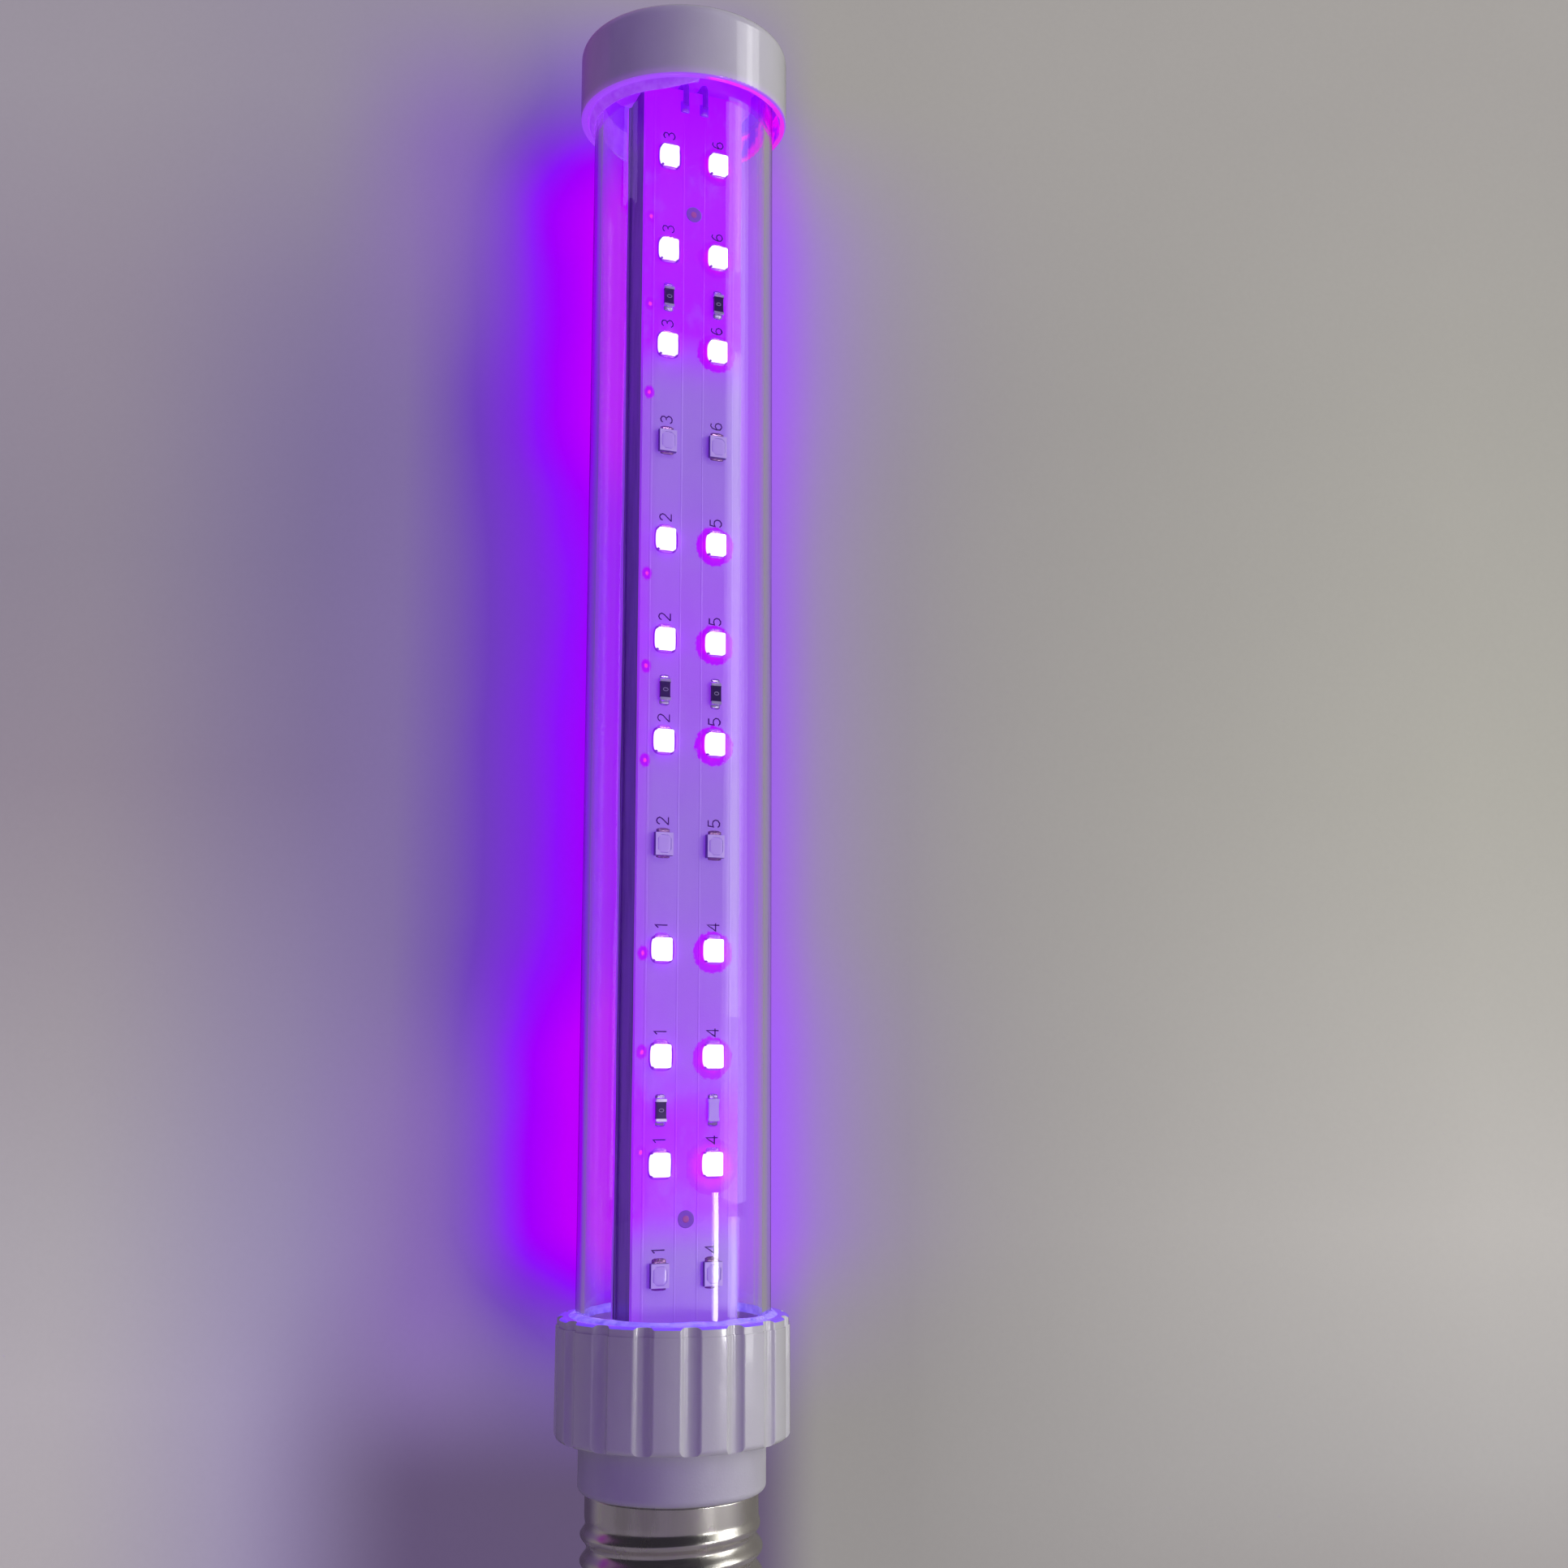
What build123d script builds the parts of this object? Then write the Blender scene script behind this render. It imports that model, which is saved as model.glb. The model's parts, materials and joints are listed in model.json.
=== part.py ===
from build123d import *
import math
import os

# Insect trap lamp: a clear tube with a lamp board on each side of a flat bar, on a screw base.
# The origin is the tip of the centre contact, and +Z runs up the lamp to the end cap.
# The front lamp board looks along -Y, the rear one along +Y. All sizes are in millimetres.

# Lengths along the lamp, from the contact up
screw_base_length = 25.5
neck_exposed = 7.4
collar_height = 17.1
cap_height = 12.3

# Clear tube
tube_outer = 28.5
tube_wall = 1.2
tube_in_collar = 9.6
tube_end_gap = 0.2

# End cap
cap_outer = 33.0
cap_wall = 1.1
cap_roof = 1.6
cap_edge_radius = 2.0
cap_mouth_radius = 0.4
cap_mouth_depth = 4.0
cap_bore_clearance = 0.1

# Glue beads
cap_bead_drop = 1.5
cap_bead_lip = 0.25
cap_bead_start = 40
cap_bead_arc = 219
collar_bead_width = 0.8
collar_bead_rise = 0.6
collar_bead_shoulder = 0.25

# Fluted collar
collar_outer = 34.1
flute_count = 16
flute_depth = 0.8
flute_radius = 1.6
flute_edge_radius = 0.45
collar_foot_radius = 0.9
collar_lip_height = 1.3
collar_lip_step = 0.2
collar_lip_radius = 0.7
collar_tube_clearance = 0.2
collar_neck_clearance = 0.05
collar_ledge = 1.0
collar_ledge_width = 2.05

# Neck, the housing of the driver
neck_outer = 27.1
neck_shoulder = 0.45
neck_insert_wall = 0.9
neck_foot_radius = 1.0
neck_floor = 1.5
spigot_length = 3.2
spigot_wall = 1.1
spigot_clearance = 0.1
rail_thickness = 1.0
rail_reach = 0.9
rail_clearance = 0.1
rail_sink = 0.45

# Screw shell
shell_wall = 0.4
shell_skirt_outer = 25.0
thread_crest = 26.2
thread_root = 24.25
thread_pitch = 3.62
thread_steps = 10
thread_foot_z = 7.4
thread_top_z = 22.2
thread_run_out = 2.2
shell_foot_z = 4.6
shell_foot_outer = 23.2
shell_curl_bore = 20.4

# Insulator and centre contact
contact_outer = 9.4
contact_thickness = 1.0
contact_flat = 4.7
contact_dome = 0.6
contact_dome_reach = 3.76
contact_dome_rise = 0.15
contact_stem = 2.4
contact_stem_rise = 0.5
insulator_foot = 10.4
insulator_clearance = 0.1
insulator_flange = 22.0
insulator_flange_thickness = 1.4

# Core: a bar with a tape and a lamp board on each face
board_width = 16.0
board_length = 200.0
board_thickness = 1.0
tape_thickness = 0.15
board_in_collar = 11.3
board_in_cap = 3.2
bar_thickness = 7.6
bar_over_board = 0.7
bar_wall = 1.2
bar_corner = 0.3
bar_side_recess = 0.25
bar_side_lip = 0.8

# Lamps and chip resistors
led_length = 3.5
led_width = 2.8
led_height = 0.75
led_draft = 4
led_window_length = 2.7
led_window_width = 2.1
led_window_depth = 0.25
led_window_corner = 0.55
led_column = 4.05
led_foot_margin = 17.3
led_top_margin = 11.65
leds_in_group = 4
groups_in_column = 3
chip_length = 3.2
chip_width = 1.6
chip_height = 0.6
chip_end = 0.5
chip_relief = 0.06

# Holders at the two ends of the core
fit = 0.15
bottom_floor = 2.2
bottom_flange = 25.6
bottom_flange_thickness = 1.2
bottom_bore_clearance = 0.15
lead_hole = 1.7
lead_spread = 3.0
lead_outward = 7.4
top_disc_clearance = 0.2
top_disc_thickness = 2.4
tongue_width = 21.6
tongue_thickness = 4.8
finger_reach = 1.3
finger_radius = 1.2

# Wires
lead_diameter = 1.3
lead_rise = 3.0
lead_bend = 1.6
lead_start_drop = 2.6
link_diameter = 0.9
link_spread = 1.6
link_pad_drop = 2.6
link_bend = 1.2
link_gap = 0.05
link_tunnel_clearance = 0.3
contact_lead_diameter = 0.8
contact_lead_bend = 0.48
shell_lead_start = 7.0
shell_lead_rise = 2.0

# Driver board and its parts
driver_width = 21.0
driver_thickness = 1.2
driver_foot_z = 8.8
driver_top_z = 33.0
driver_corner = 1.0
can_diameter = 8.0
can_height = 11.5
can_edge_margin = 5.7
can_foot_z = 16.8
can_crimp_radius = 0.5
can_crimp_height = 1.5
can_edge = 0.4
drum_height = 8.0
drum_waist = 5.2
drum_flange = 1.4
small_can_diameter = 6.3
small_can_height = 9.0
bridge_length = 4.8
bridge_width = 6.4
bridge_height = 2.5
chip_body_length = 4.9
chip_body_width = 3.9
chip_body_height = 1.6
fuse_diameter = 3.0
fuse_length = 9.0
fuse_cap = 1.6
fuse_waist = 0.2
part_gap = 0.05

# Heights that follow from the lengths
neck_foot_z = screw_base_length
collar_foot_z = neck_foot_z + neck_exposed
collar_top_z = collar_foot_z + collar_height
tube_foot_z = collar_top_z - tube_in_collar
ledge_foot_z = tube_foot_z - collar_ledge
board_foot_z = collar_top_z - board_in_collar
board_top_z = board_foot_z + board_length
cap_mouth_z = board_top_z - board_in_cap
cap_top_z = cap_mouth_z + cap_height
cap_roof_z = cap_top_z - cap_roof
tube_top_z = cap_roof_z - tube_end_gap
bar_top_z = board_top_z + bar_over_board

# Radii and faces that follow from the sizes
tube_radius = tube_outer / 2
tube_bore = tube_radius - tube_wall
cap_radius = cap_outer / 2
cap_mouth_bore = cap_radius - cap_wall
collar_radius = collar_outer / 2
collar_tube_bore = tube_radius + collar_tube_clearance
neck_radius = neck_outer / 2
neck_insert_radius = neck_radius - neck_shoulder
neck_bore = neck_insert_radius - neck_insert_wall
ledge_bore = tube_radius - collar_ledge_width
skirt_bore = shell_skirt_outer / 2 - shell_wall
spigot_radius = skirt_bore - spigot_clearance
spigot_bore = spigot_radius - spigot_wall
tape_face = bar_thickness / 2
board_seat = tape_face + tape_thickness
board_face = board_seat + board_thickness
driver_face = driver_thickness / 2
can_x = driver_width / 2 - can_edge_margin
lamps_in_column = leds_in_group * groups_in_column
led_pitch = (board_length - led_foot_margin - led_top_margin) / (lamps_in_column - 1)

os.makedirs("parts", exist_ok=True)


def board_plane(turn, height):
    """Plane on a lamp board's outer face: x across, y up. Turn is 0 in front, 180 behind."""
    angle = math.radians(turn)
    across = (math.cos(angle), math.sin(angle), 0)
    outward = (math.sin(angle), -math.cos(angle), 0)
    origin = (outward[0] * board_face, outward[1] * board_face, height)
    return Plane(origin=origin, x_dir=across, z_dir=outward)


def save(piece, name):
    """Label a finished piece and write it to its own file."""
    piece.part.label = name
    export_step(piece.part, f"parts/{name}.step")


# Clear tube
with BuildPart() as clear_tube:
    with BuildSketch(Plane.XY.offset(tube_foot_z)):
        Circle(tube_radius)
        Circle(tube_bore, mode=Mode.SUBTRACT)
    extrude(amount=tube_top_z - tube_foot_z)
save(clear_tube, "clear_tube")


# End cap: a round cup with a rounded top edge and a wider mouth for the glue
with BuildPart() as end_cap:
    with BuildSketch(Plane.XZ):
        with Locations((0, cap_mouth_z)):
            Rectangle(cap_radius, cap_height, align=(Align.MIN, Align.MIN))
        rim_corners = vertices().group_by(Axis.X)[-1].sort_by(Axis.Y)
        fillet(rim_corners[0], cap_mouth_radius)
        fillet(vertices().sort_by(lambda v: -v.Y - v.X)[0], cap_edge_radius)
    revolve(axis=Axis.Z)
    with BuildSketch(Plane.XY.offset(cap_mouth_z)):
        Circle(tube_radius + cap_bore_clearance)
    extrude(amount=cap_roof_z - cap_mouth_z, mode=Mode.SUBTRACT)
    with BuildSketch(Plane.XY.offset(cap_mouth_z)):
        Circle(cap_mouth_bore)
    extrude(amount=cap_mouth_depth, mode=Mode.SUBTRACT)
save(end_cap, "end_cap")


# Glue bead in the cap's mouth: it hangs below the rim, and leaves part of the round open
with BuildPart() as cap_seal:
    with BuildSketch(Plane.XZ.rotated((0, 0, cap_bead_start))):
        with BuildLine():
            Polyline(
                (tube_radius, cap_mouth_z + cap_mouth_depth),
                (cap_mouth_bore, cap_mouth_z + cap_mouth_depth),
                (cap_mouth_bore, cap_mouth_z),
                (tube_radius + cap_bead_lip, cap_mouth_z - cap_bead_drop),
                (tube_radius, cap_mouth_z - cap_bead_drop),
                close=True,
            )
        make_face()
    revolve(axis=Axis.Z, revolution_arc=cap_bead_arc)
save(cap_seal, "cap_seal")


# Plug in the cap: a disc in the tube's end, and a tongue whose fingers grip the bar
with BuildPart() as top_holder:
    with BuildSketch(Plane.XY.offset(cap_roof_z - top_disc_thickness)):
        Circle(tube_bore - top_disc_clearance)
    extrude(amount=top_disc_thickness)
    tongue_foot = bar_top_z - finger_reach
    with BuildSketch(Plane.XZ.offset(-tongue_thickness / 2)):
        with Locations((0, tongue_foot)):
            Rectangle(
                tongue_width,
                cap_roof_z - top_disc_thickness - tongue_foot,
                align=(Align.CENTER, Align.MIN),
            )
        fillet(vertices().group_by(Axis.Y)[0], finger_radius)
        with Locations((0, tongue_foot)):
            Rectangle(
                board_width + 2 * fit,
                finger_reach,
                align=(Align.CENTER, Align.MIN),
                mode=Mode.SUBTRACT,
            )
    extrude(amount=tongue_thickness)
    link_tunnel = link_diameter + 2 * link_tunnel_clearance
    with BuildSketch(Plane.XZ.offset(-tongue_thickness)):
        with GridLocations(2 * link_spread, 1, 2, 1):
            with Locations((0, bar_top_z)):
                Rectangle(
                    link_tunnel,
                    link_tunnel,
                    align=(Align.CENTER, Align.MIN),
                )
    extrude(amount=2 * tongue_thickness, mode=Mode.SUBTRACT)
save(top_holder, "top_holder")


# Fluted collar: a round grip with sixteen flutes, a stepped lip, and bores for tube and neck
def fluted_outline(radius):
    """Outline of the grip, its flutes cut in from the given radius and their edges rounded."""
    with BuildSketch(Plane.XY, mode=Mode.PRIVATE) as outline:
        Circle(radius)
        flute_centre = radius - flute_depth + flute_radius
        with PolarLocations(flute_centre, flute_count, start_angle=180 / flute_count):
            Circle(flute_radius, mode=Mode.SUBTRACT)
        fillet(outline.vertices(), flute_edge_radius)
    return outline.sketch


with BuildPart() as fluted_collar:
    lip_foot_z = collar_top_z - collar_lip_height
    with BuildSketch(Plane.XY.offset(collar_foot_z)):
        add(fluted_outline(collar_radius))
    extrude(amount=lip_foot_z - collar_foot_z)
    with BuildSketch(Plane.XY.offset(lip_foot_z)):
        add(fluted_outline(collar_radius - collar_lip_step))
    extrude(amount=collar_lip_height)
    with BuildSketch(Plane.XZ):
        with Locations((0, collar_foot_z)):
            Rectangle(collar_radius, collar_height, align=(Align.MIN, Align.MIN))
        outer_corners = vertices().group_by(Axis.X)[-1].sort_by(Axis.Y)
        fillet(outer_corners[0], collar_foot_radius)
        top_corner = vertices().sort_by(lambda v: -v.Y - v.X)[0]
        fillet(top_corner, collar_lip_radius + collar_lip_step)
    revolve(axis=Axis.Z, mode=Mode.INTERSECT)
    with BuildSketch(Plane.XY.offset(collar_foot_z)):
        Circle(neck_insert_radius + collar_neck_clearance)
    extrude(amount=ledge_foot_z - collar_foot_z, mode=Mode.SUBTRACT)
    with BuildSketch(Plane.XY.offset(ledge_foot_z)):
        Circle(ledge_bore)
    extrude(amount=collar_ledge, mode=Mode.SUBTRACT)
    with BuildSketch(Plane.XZ):
        with BuildLine():
            Polyline(
                (0, tube_foot_z),
                (collar_tube_bore, tube_foot_z),
                (collar_tube_bore, collar_top_z - collar_bead_width),
                (collar_tube_bore + collar_bead_width, collar_top_z),
                (0, collar_top_z),
                close=True,
            )
        make_face()
    revolve(axis=Axis.Z, mode=Mode.SUBTRACT)
save(fluted_collar, "fluted_collar")


# Glue bead in the collar's mouth, round the foot of the tube
with BuildPart() as collar_seal:
    with BuildSketch(Plane.XZ):
        with BuildLine():
            Polyline(
                (tube_radius, collar_top_z - collar_bead_width),
                (collar_tube_bore, collar_top_z - collar_bead_width),
                (collar_tube_bore + collar_bead_width, collar_top_z),
                (
                    collar_tube_bore + collar_bead_width / 2,
                    collar_top_z + collar_bead_shoulder,
                ),
                (tube_radius, collar_top_z + collar_bead_rise),
                close=True,
            )
        make_face()
    revolve(axis=Axis.Z)
save(collar_seal, "collar_seal")


# Neck: housing of the driver, with a shoulder for the collar and a spigot for the screw shell
with BuildPart() as base_neck:
    with BuildSketch(Plane.XZ):
        with Locations((0, neck_foot_z)):
            Rectangle(neck_radius, neck_exposed, align=(Align.MIN, Align.MIN))
        foot_corner = vertices().group_by(Axis.X)[-1].sort_by(Axis.Y)[0]
        fillet(foot_corner, neck_foot_radius)
        with Locations((0, collar_foot_z)):
            Rectangle(
                neck_insert_radius,
                ledge_foot_z - collar_foot_z,
                align=(Align.MIN, Align.MIN),
            )
        with Locations((0, neck_foot_z - spigot_length)):
            Rectangle(spigot_radius, spigot_length, align=(Align.MIN, Align.MIN))
    revolve(axis=Axis.Z)
    with BuildSketch(Plane.XY.offset(neck_foot_z - spigot_length)):
        Circle(spigot_bore)
    extrude(amount=spigot_length + neck_floor, mode=Mode.SUBTRACT)
    with BuildSketch(Plane.XY.offset(neck_foot_z + neck_floor)):
        Circle(neck_bore)
    extrude(amount=ledge_foot_z - neck_foot_z - neck_floor, mode=Mode.SUBTRACT)
    rail_inner = driver_width / 2 - rail_reach
    with BuildSketch(Plane.XY.offset(neck_foot_z)):
        Circle(neck_bore + rail_sink)
        Rectangle(2 * rail_inner, neck_outer, mode=Mode.SUBTRACT)
        rail_slot = driver_thickness + 2 * rail_clearance
        Rectangle(neck_outer, rail_slot, mode=Mode.SUBTRACT)
        rail_span = rail_slot + 2 * rail_thickness
        Rectangle(neck_outer, rail_span, mode=Mode.INTERSECT)
    extrude(amount=driver_top_z - neck_foot_z)
save(base_neck, "base_neck")


# Holder at the foot of the core: a disc on the collar's ledge with a pocket and two wire holes
with BuildPart() as bottom_holder:
    body_foot = board_foot_z - bottom_floor
    with BuildSketch(Plane.XY.offset(body_foot)):
        Circle(min(ledge_bore, neck_bore) - bottom_bore_clearance)
    extrude(amount=tube_foot_z - body_foot)
    with BuildSketch(Plane.XY.offset(tube_foot_z)):
        Circle(bottom_flange / 2)
    extrude(amount=bottom_flange_thickness)
    pocket_depth = tube_foot_z + bottom_flange_thickness - board_foot_z
    with BuildSketch(Plane.XY.offset(board_foot_z)):
        Rectangle(board_width + 2 * fit, 2 * (board_face + fit))
    extrude(amount=pocket_depth, mode=Mode.SUBTRACT)
    with BuildSketch(Plane.XY.offset(body_foot)):
        with Locations((-lead_spread, -lead_outward), (lead_spread, -lead_outward)):
            Circle(lead_hole / 2)
    extrude(amount=bottom_floor + pocket_depth, mode=Mode.SUBTRACT)
save(bottom_holder, "bottom_holder")


# Aluminium bar: a hollow extrusion with two channels and a shallow recess down each side
with BuildPart() as core_bar:
    with BuildSketch(Plane.XY.offset(board_foot_z)):
        RectangleRounded(board_width, bar_thickness, bar_corner)
        channel_width = (board_width - 3 * bar_wall) / 2
        with GridLocations(channel_width + bar_wall, 0, 2, 1):
            Rectangle(channel_width, bar_thickness - 2 * bar_wall, mode=Mode.SUBTRACT)
        with GridLocations(board_width, 0, 2, 1):
            Rectangle(
                2 * bar_side_recess,
                bar_thickness - 2 * bar_side_lip,
                mode=Mode.SUBTRACT,
            )
    extrude(amount=bar_top_z - board_foot_z)
save(core_bar, "core_bar")


# Screw shell: a thin skirt, and a rolled knuckle thread made of circles whose centre turns
def shell_sections(foot_z, top_z):
    """Height, radius and centre offset of each circle from the foot up to the skirt's edge."""
    mean_radius = (thread_crest + thread_root) / 4
    throw = (thread_crest - thread_root) / 4
    rows = [(foot_z, shell_foot_outer / 2, 0)]
    step = thread_pitch / thread_steps
    height = foot_z + step
    while height < top_z - step:
        run_in = (height - foot_z) / (thread_foot_z - foot_z)
        run_out = (thread_top_z - height) / thread_run_out
        share = max(0, min(1, run_in, run_out))
        skirt_share = max(0, min(1, (height - thread_top_z) / thread_run_out + 1))
        radius = mean_radius + (shell_skirt_outer / 2 - mean_radius) * skirt_share
        radius = radius - (mean_radius - shell_foot_outer / 2) * (1 - min(1, run_in))
        rows.append((height, radius, throw * share))
        height = height + step
    rows.append((top_z, shell_skirt_outer / 2, 0))
    return rows


def shell_solid(inset):
    """Lofted solid inside the shell's outer face, shrunk by the inset."""
    curl_top_z = shell_foot_z + shell_wall
    with BuildPart(mode=Mode.PRIVATE) as solid:
        for height, radius, throw in shell_sections(curl_top_z, neck_foot_z):
            turn = 2 * math.pi * height / thread_pitch
            centre = (throw * math.cos(turn), throw * math.sin(turn))
            with BuildSketch(Plane.XY.offset(height)):
                with Locations(centre):
                    Circle(radius - inset)
        loft(ruled=True)
    return solid.part


with BuildPart() as screw_shell:
    add(shell_solid(0))
    add(shell_solid(shell_wall), mode=Mode.SUBTRACT)
    with BuildSketch(Plane.XY.offset(shell_foot_z)):
        Circle(shell_foot_outer / 2)
        Circle(shell_curl_bore / 2, mode=Mode.SUBTRACT)
    extrude(amount=shell_wall)
save(screw_shell, "screw_shell")


# Insulator: a black cone below the shell's curl and a flange above it
with BuildPart() as base_insulator:
    throat = shell_curl_bore / 2 - insulator_clearance
    flange_z = shell_foot_z + shell_wall
    with BuildSketch(Plane.XZ):
        with BuildLine():
            Polyline(
                (0, contact_thickness),
                (insulator_foot / 2, contact_thickness),
                (throat, shell_foot_z - insulator_clearance),
                (throat, flange_z),
                (insulator_flange / 2, flange_z),
                (insulator_flange / 2, flange_z + insulator_flange_thickness),
                (0, flange_z + insulator_flange_thickness),
                close=True,
            )
        make_face()
    revolve(axis=Axis.Z)
    with BuildSketch(Plane.XY.offset(contact_thickness)):
        Circle(contact_stem / 2)
    extrude(amount=flange_z + insulator_flange_thickness, mode=Mode.SUBTRACT)
save(base_insulator, "base_insulator")


# Centre contact: a domed rivet head and its stem through the insulator
with BuildPart() as centre_contact:
    stem_top_z = shell_foot_z + shell_wall + insulator_flange_thickness + contact_stem_rise
    with BuildSketch(Plane.XZ):
        with BuildLine():
            foot = Line((0, 0), (contact_flat / 2, 0))
            dome = ThreePointArc(
                foot @ 1,
                (contact_dome_reach, contact_dome_rise),
                (contact_outer / 2, contact_dome),
            )
            Polyline(
                dome @ 1,
                (contact_outer / 2, contact_thickness),
                (contact_stem / 2, contact_thickness),
                (contact_stem / 2, stem_top_z),
                (0, stem_top_z),
                (0, 0),
            )
        make_face()
    revolve(axis=Axis.Z)
save(centre_contact, "centre_contact")


# Lamp boards, tapes, lamps and chip resistors, the same in front and behind
for side, turn in (("front", 0), ("rear", 180)):
    with BuildPart() as thermal_tape:
        with BuildSketch(board_plane(turn, board_foot_z).offset(-board_thickness)):
            Rectangle(board_width, board_length, align=(Align.CENTER, Align.MIN))
        extrude(amount=-tape_thickness)
    save(thermal_tape, f"{side}_thermal_tape")

    with BuildPart() as lamp_board:
        with BuildSketch(board_plane(turn, board_foot_z)):
            Rectangle(board_width, board_length, align=(Align.CENTER, Align.MIN))
        extrude(amount=-board_thickness)
    save(lamp_board, f"{side}_board")

    for group in range(2 * groups_in_column):
        column = -led_column if group < groups_in_column else led_column
        first_led = led_foot_margin + (group % groups_in_column) * leds_in_group * led_pitch
        group_plane = board_plane(turn, board_foot_z + first_led)
        lamp_places = [(column, led_pitch * place) for place in range(leds_in_group)]

        with BuildPart() as led_group:
            with BuildSketch(group_plane):
                with Locations(lamp_places):
                    Rectangle(led_width, led_length)
            extrude(amount=led_height, taper=led_draft)
            with BuildSketch(group_plane.offset(led_height)):
                with Locations(lamp_places):
                    Rectangle(led_window_width, led_window_length)
                chamfer(vertices(), led_window_corner)
            extrude(amount=-led_window_depth, mode=Mode.SUBTRACT)
        save(led_group, f"{side}_led_group_{group + 1}")

        with BuildPart() as chip_resistor:
            chip_place = (column, led_pitch * (leds_in_group - 1) / 2)
            with BuildSketch(group_plane):
                with Locations(chip_place):
                    Rectangle(chip_width - 2 * chip_relief, chip_length - 2 * chip_end)
            extrude(amount=chip_height - chip_relief)
            with BuildSketch(group_plane):
                with Locations(chip_place):
                    with GridLocations(0, chip_length - chip_end, 1, 2):
                        Rectangle(chip_width, chip_end)
            extrude(amount=chip_height)
        save(chip_resistor, f"{side}_resistor_{group + 1}")


# Link wires: two short wires over the top end, from the front board to the rear one
with BuildPart() as link_wires:
    link_out = board_face + link_diameter / 2 + link_gap
    link_pad_z = board_top_z - link_pad_drop
    link_cross_z = bar_top_z + link_diameter / 2 + fit
    for link_x in (-link_spread, link_spread):
        with BuildLine() as link_path:
            FilletPolyline(
                (link_x, -link_out, link_pad_z),
                (link_x, -link_out, link_cross_z),
                (link_x, link_out, link_cross_z),
                (link_x, link_out, link_pad_z),
                radius=link_bend,
            )
        with BuildSketch(Plane((link_x, -link_out, link_pad_z))):
            Circle(link_diameter / 2)
        sweep(path=link_path.wire())
save(link_wires, "link_wires")


# Leads from the driver up through the bottom holder to the front board
for lead_name, lead_x in (("negative_lead", -lead_spread), ("positive_lead", lead_spread)):
    with BuildPart() as board_lead:
        lead_start_z = driver_top_z - lead_start_drop
        lead_end_z = tube_foot_z + bottom_flange_thickness + lead_rise
        with BuildLine() as lead_path:
            FilletPolyline(
                (lead_x, -driver_face, lead_start_z),
                (lead_x, -lead_outward, lead_start_z),
                (lead_x, -lead_outward, lead_end_z),
                (lead_x, -board_face, lead_end_z),
                radius=lead_bend,
            )
        with BuildSketch(Plane(lead_path.wire() @ 0, z_dir=(0, -1, 0))):
            Circle(lead_diameter / 2)
        sweep(path=lead_path.wire())
    save(board_lead, lead_name)


# Driver board, upright in the neck and the shell
with BuildPart() as driver_board:
    with BuildSketch(Plane.XZ.offset(-driver_face)):
        with Locations((0, driver_foot_z)):
            Rectangle(
                driver_width,
                driver_top_z - driver_foot_z,
                align=(Align.CENTER, Align.MIN),
            )
        chamfer(vertices(), driver_corner)
    extrude(amount=driver_thickness)
save(driver_board, "driver_board")

can_y = driver_face + can_diameter / 2 + part_gap


# Input capacitor: an aluminium can with a crimped foot
with BuildPart() as input_capacitor:
    with BuildSketch(Plane.XZ):
        with Locations((0, can_foot_z)):
            Rectangle(can_diameter / 2, can_height, align=(Align.MIN, Align.MIN))
        crimp_reach = can_diameter / 2 + can_crimp_radius / 2
        with Locations((crimp_reach, can_foot_z + can_crimp_height)):
            Circle(can_crimp_radius, mode=Mode.SUBTRACT)
        fillet(vertices().sort_by(lambda v: -v.Y - v.X)[0], can_edge)
    revolve(axis=Axis.Z)
input_capacitor.part.position = (-can_x, -can_y, 0)
save(input_capacitor, "input_capacitor")


# Power inductor: a wound drum core
with BuildPart() as power_inductor:
    drum_foot_z = can_foot_z - drum_height
    with BuildSketch(Plane.XY.offset(drum_foot_z)):
        with Locations((can_x, -can_y)):
            Circle(drum_waist / 2)
    extrude(amount=drum_height)
    for flange_z in (drum_foot_z, drum_foot_z + drum_height - drum_flange):
        with BuildSketch(Plane.XY.offset(flange_z)):
            with Locations((can_x, -can_y)):
                Circle(can_diameter / 2)
        extrude(amount=drum_flange)
save(power_inductor, "power_inductor")


# Fusible resistor: a small barrel with a cap at each end
with BuildPart() as fusible_resistor:
    fuse_foot_z = can_foot_z + part_gap
    fuse_y = driver_face + fuse_diameter / 2 + part_gap
    with BuildSketch(Plane.XY.offset(fuse_foot_z)):
        with Locations((can_x, -fuse_y)):
            Circle(fuse_diameter / 2 - fuse_waist)
    extrude(amount=fuse_length)
    for cap_z in (fuse_foot_z, fuse_foot_z + fuse_length - fuse_cap):
        with BuildSketch(Plane.XY.offset(cap_z)):
            with Locations((can_x, -fuse_y)):
                Circle(fuse_diameter / 2)
        extrude(amount=fuse_cap)
save(fusible_resistor, "fusible_resistor")


# Output capacitor, on the other side of the driver board
with BuildPart() as output_capacitor:
    small_can_y = driver_face + small_can_diameter / 2 + part_gap
    with BuildSketch(Plane.XY.offset(can_foot_z - drum_height)):
        with Locations((can_x, small_can_y)):
            Circle(small_can_diameter / 2)
    extrude(amount=small_can_height)
    fillet(edges().sort_by(Axis.Z)[-1], can_edge)
save(output_capacitor, "output_capacitor")


# Bridge rectifier and driver chip, flat on the back of the driver board
rear_face = Plane(origin=(0, driver_face, 0), x_dir=(-1, 0, 0), z_dir=(0, 1, 0))
with BuildPart() as bridge_rectifier:
    with BuildSketch(rear_face):
        with Locations((can_x, can_foot_z - bridge_length / 2)):
            Rectangle(bridge_width, bridge_length)
    extrude(amount=bridge_height, taper=led_draft)
save(bridge_rectifier, "bridge_rectifier")

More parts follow.
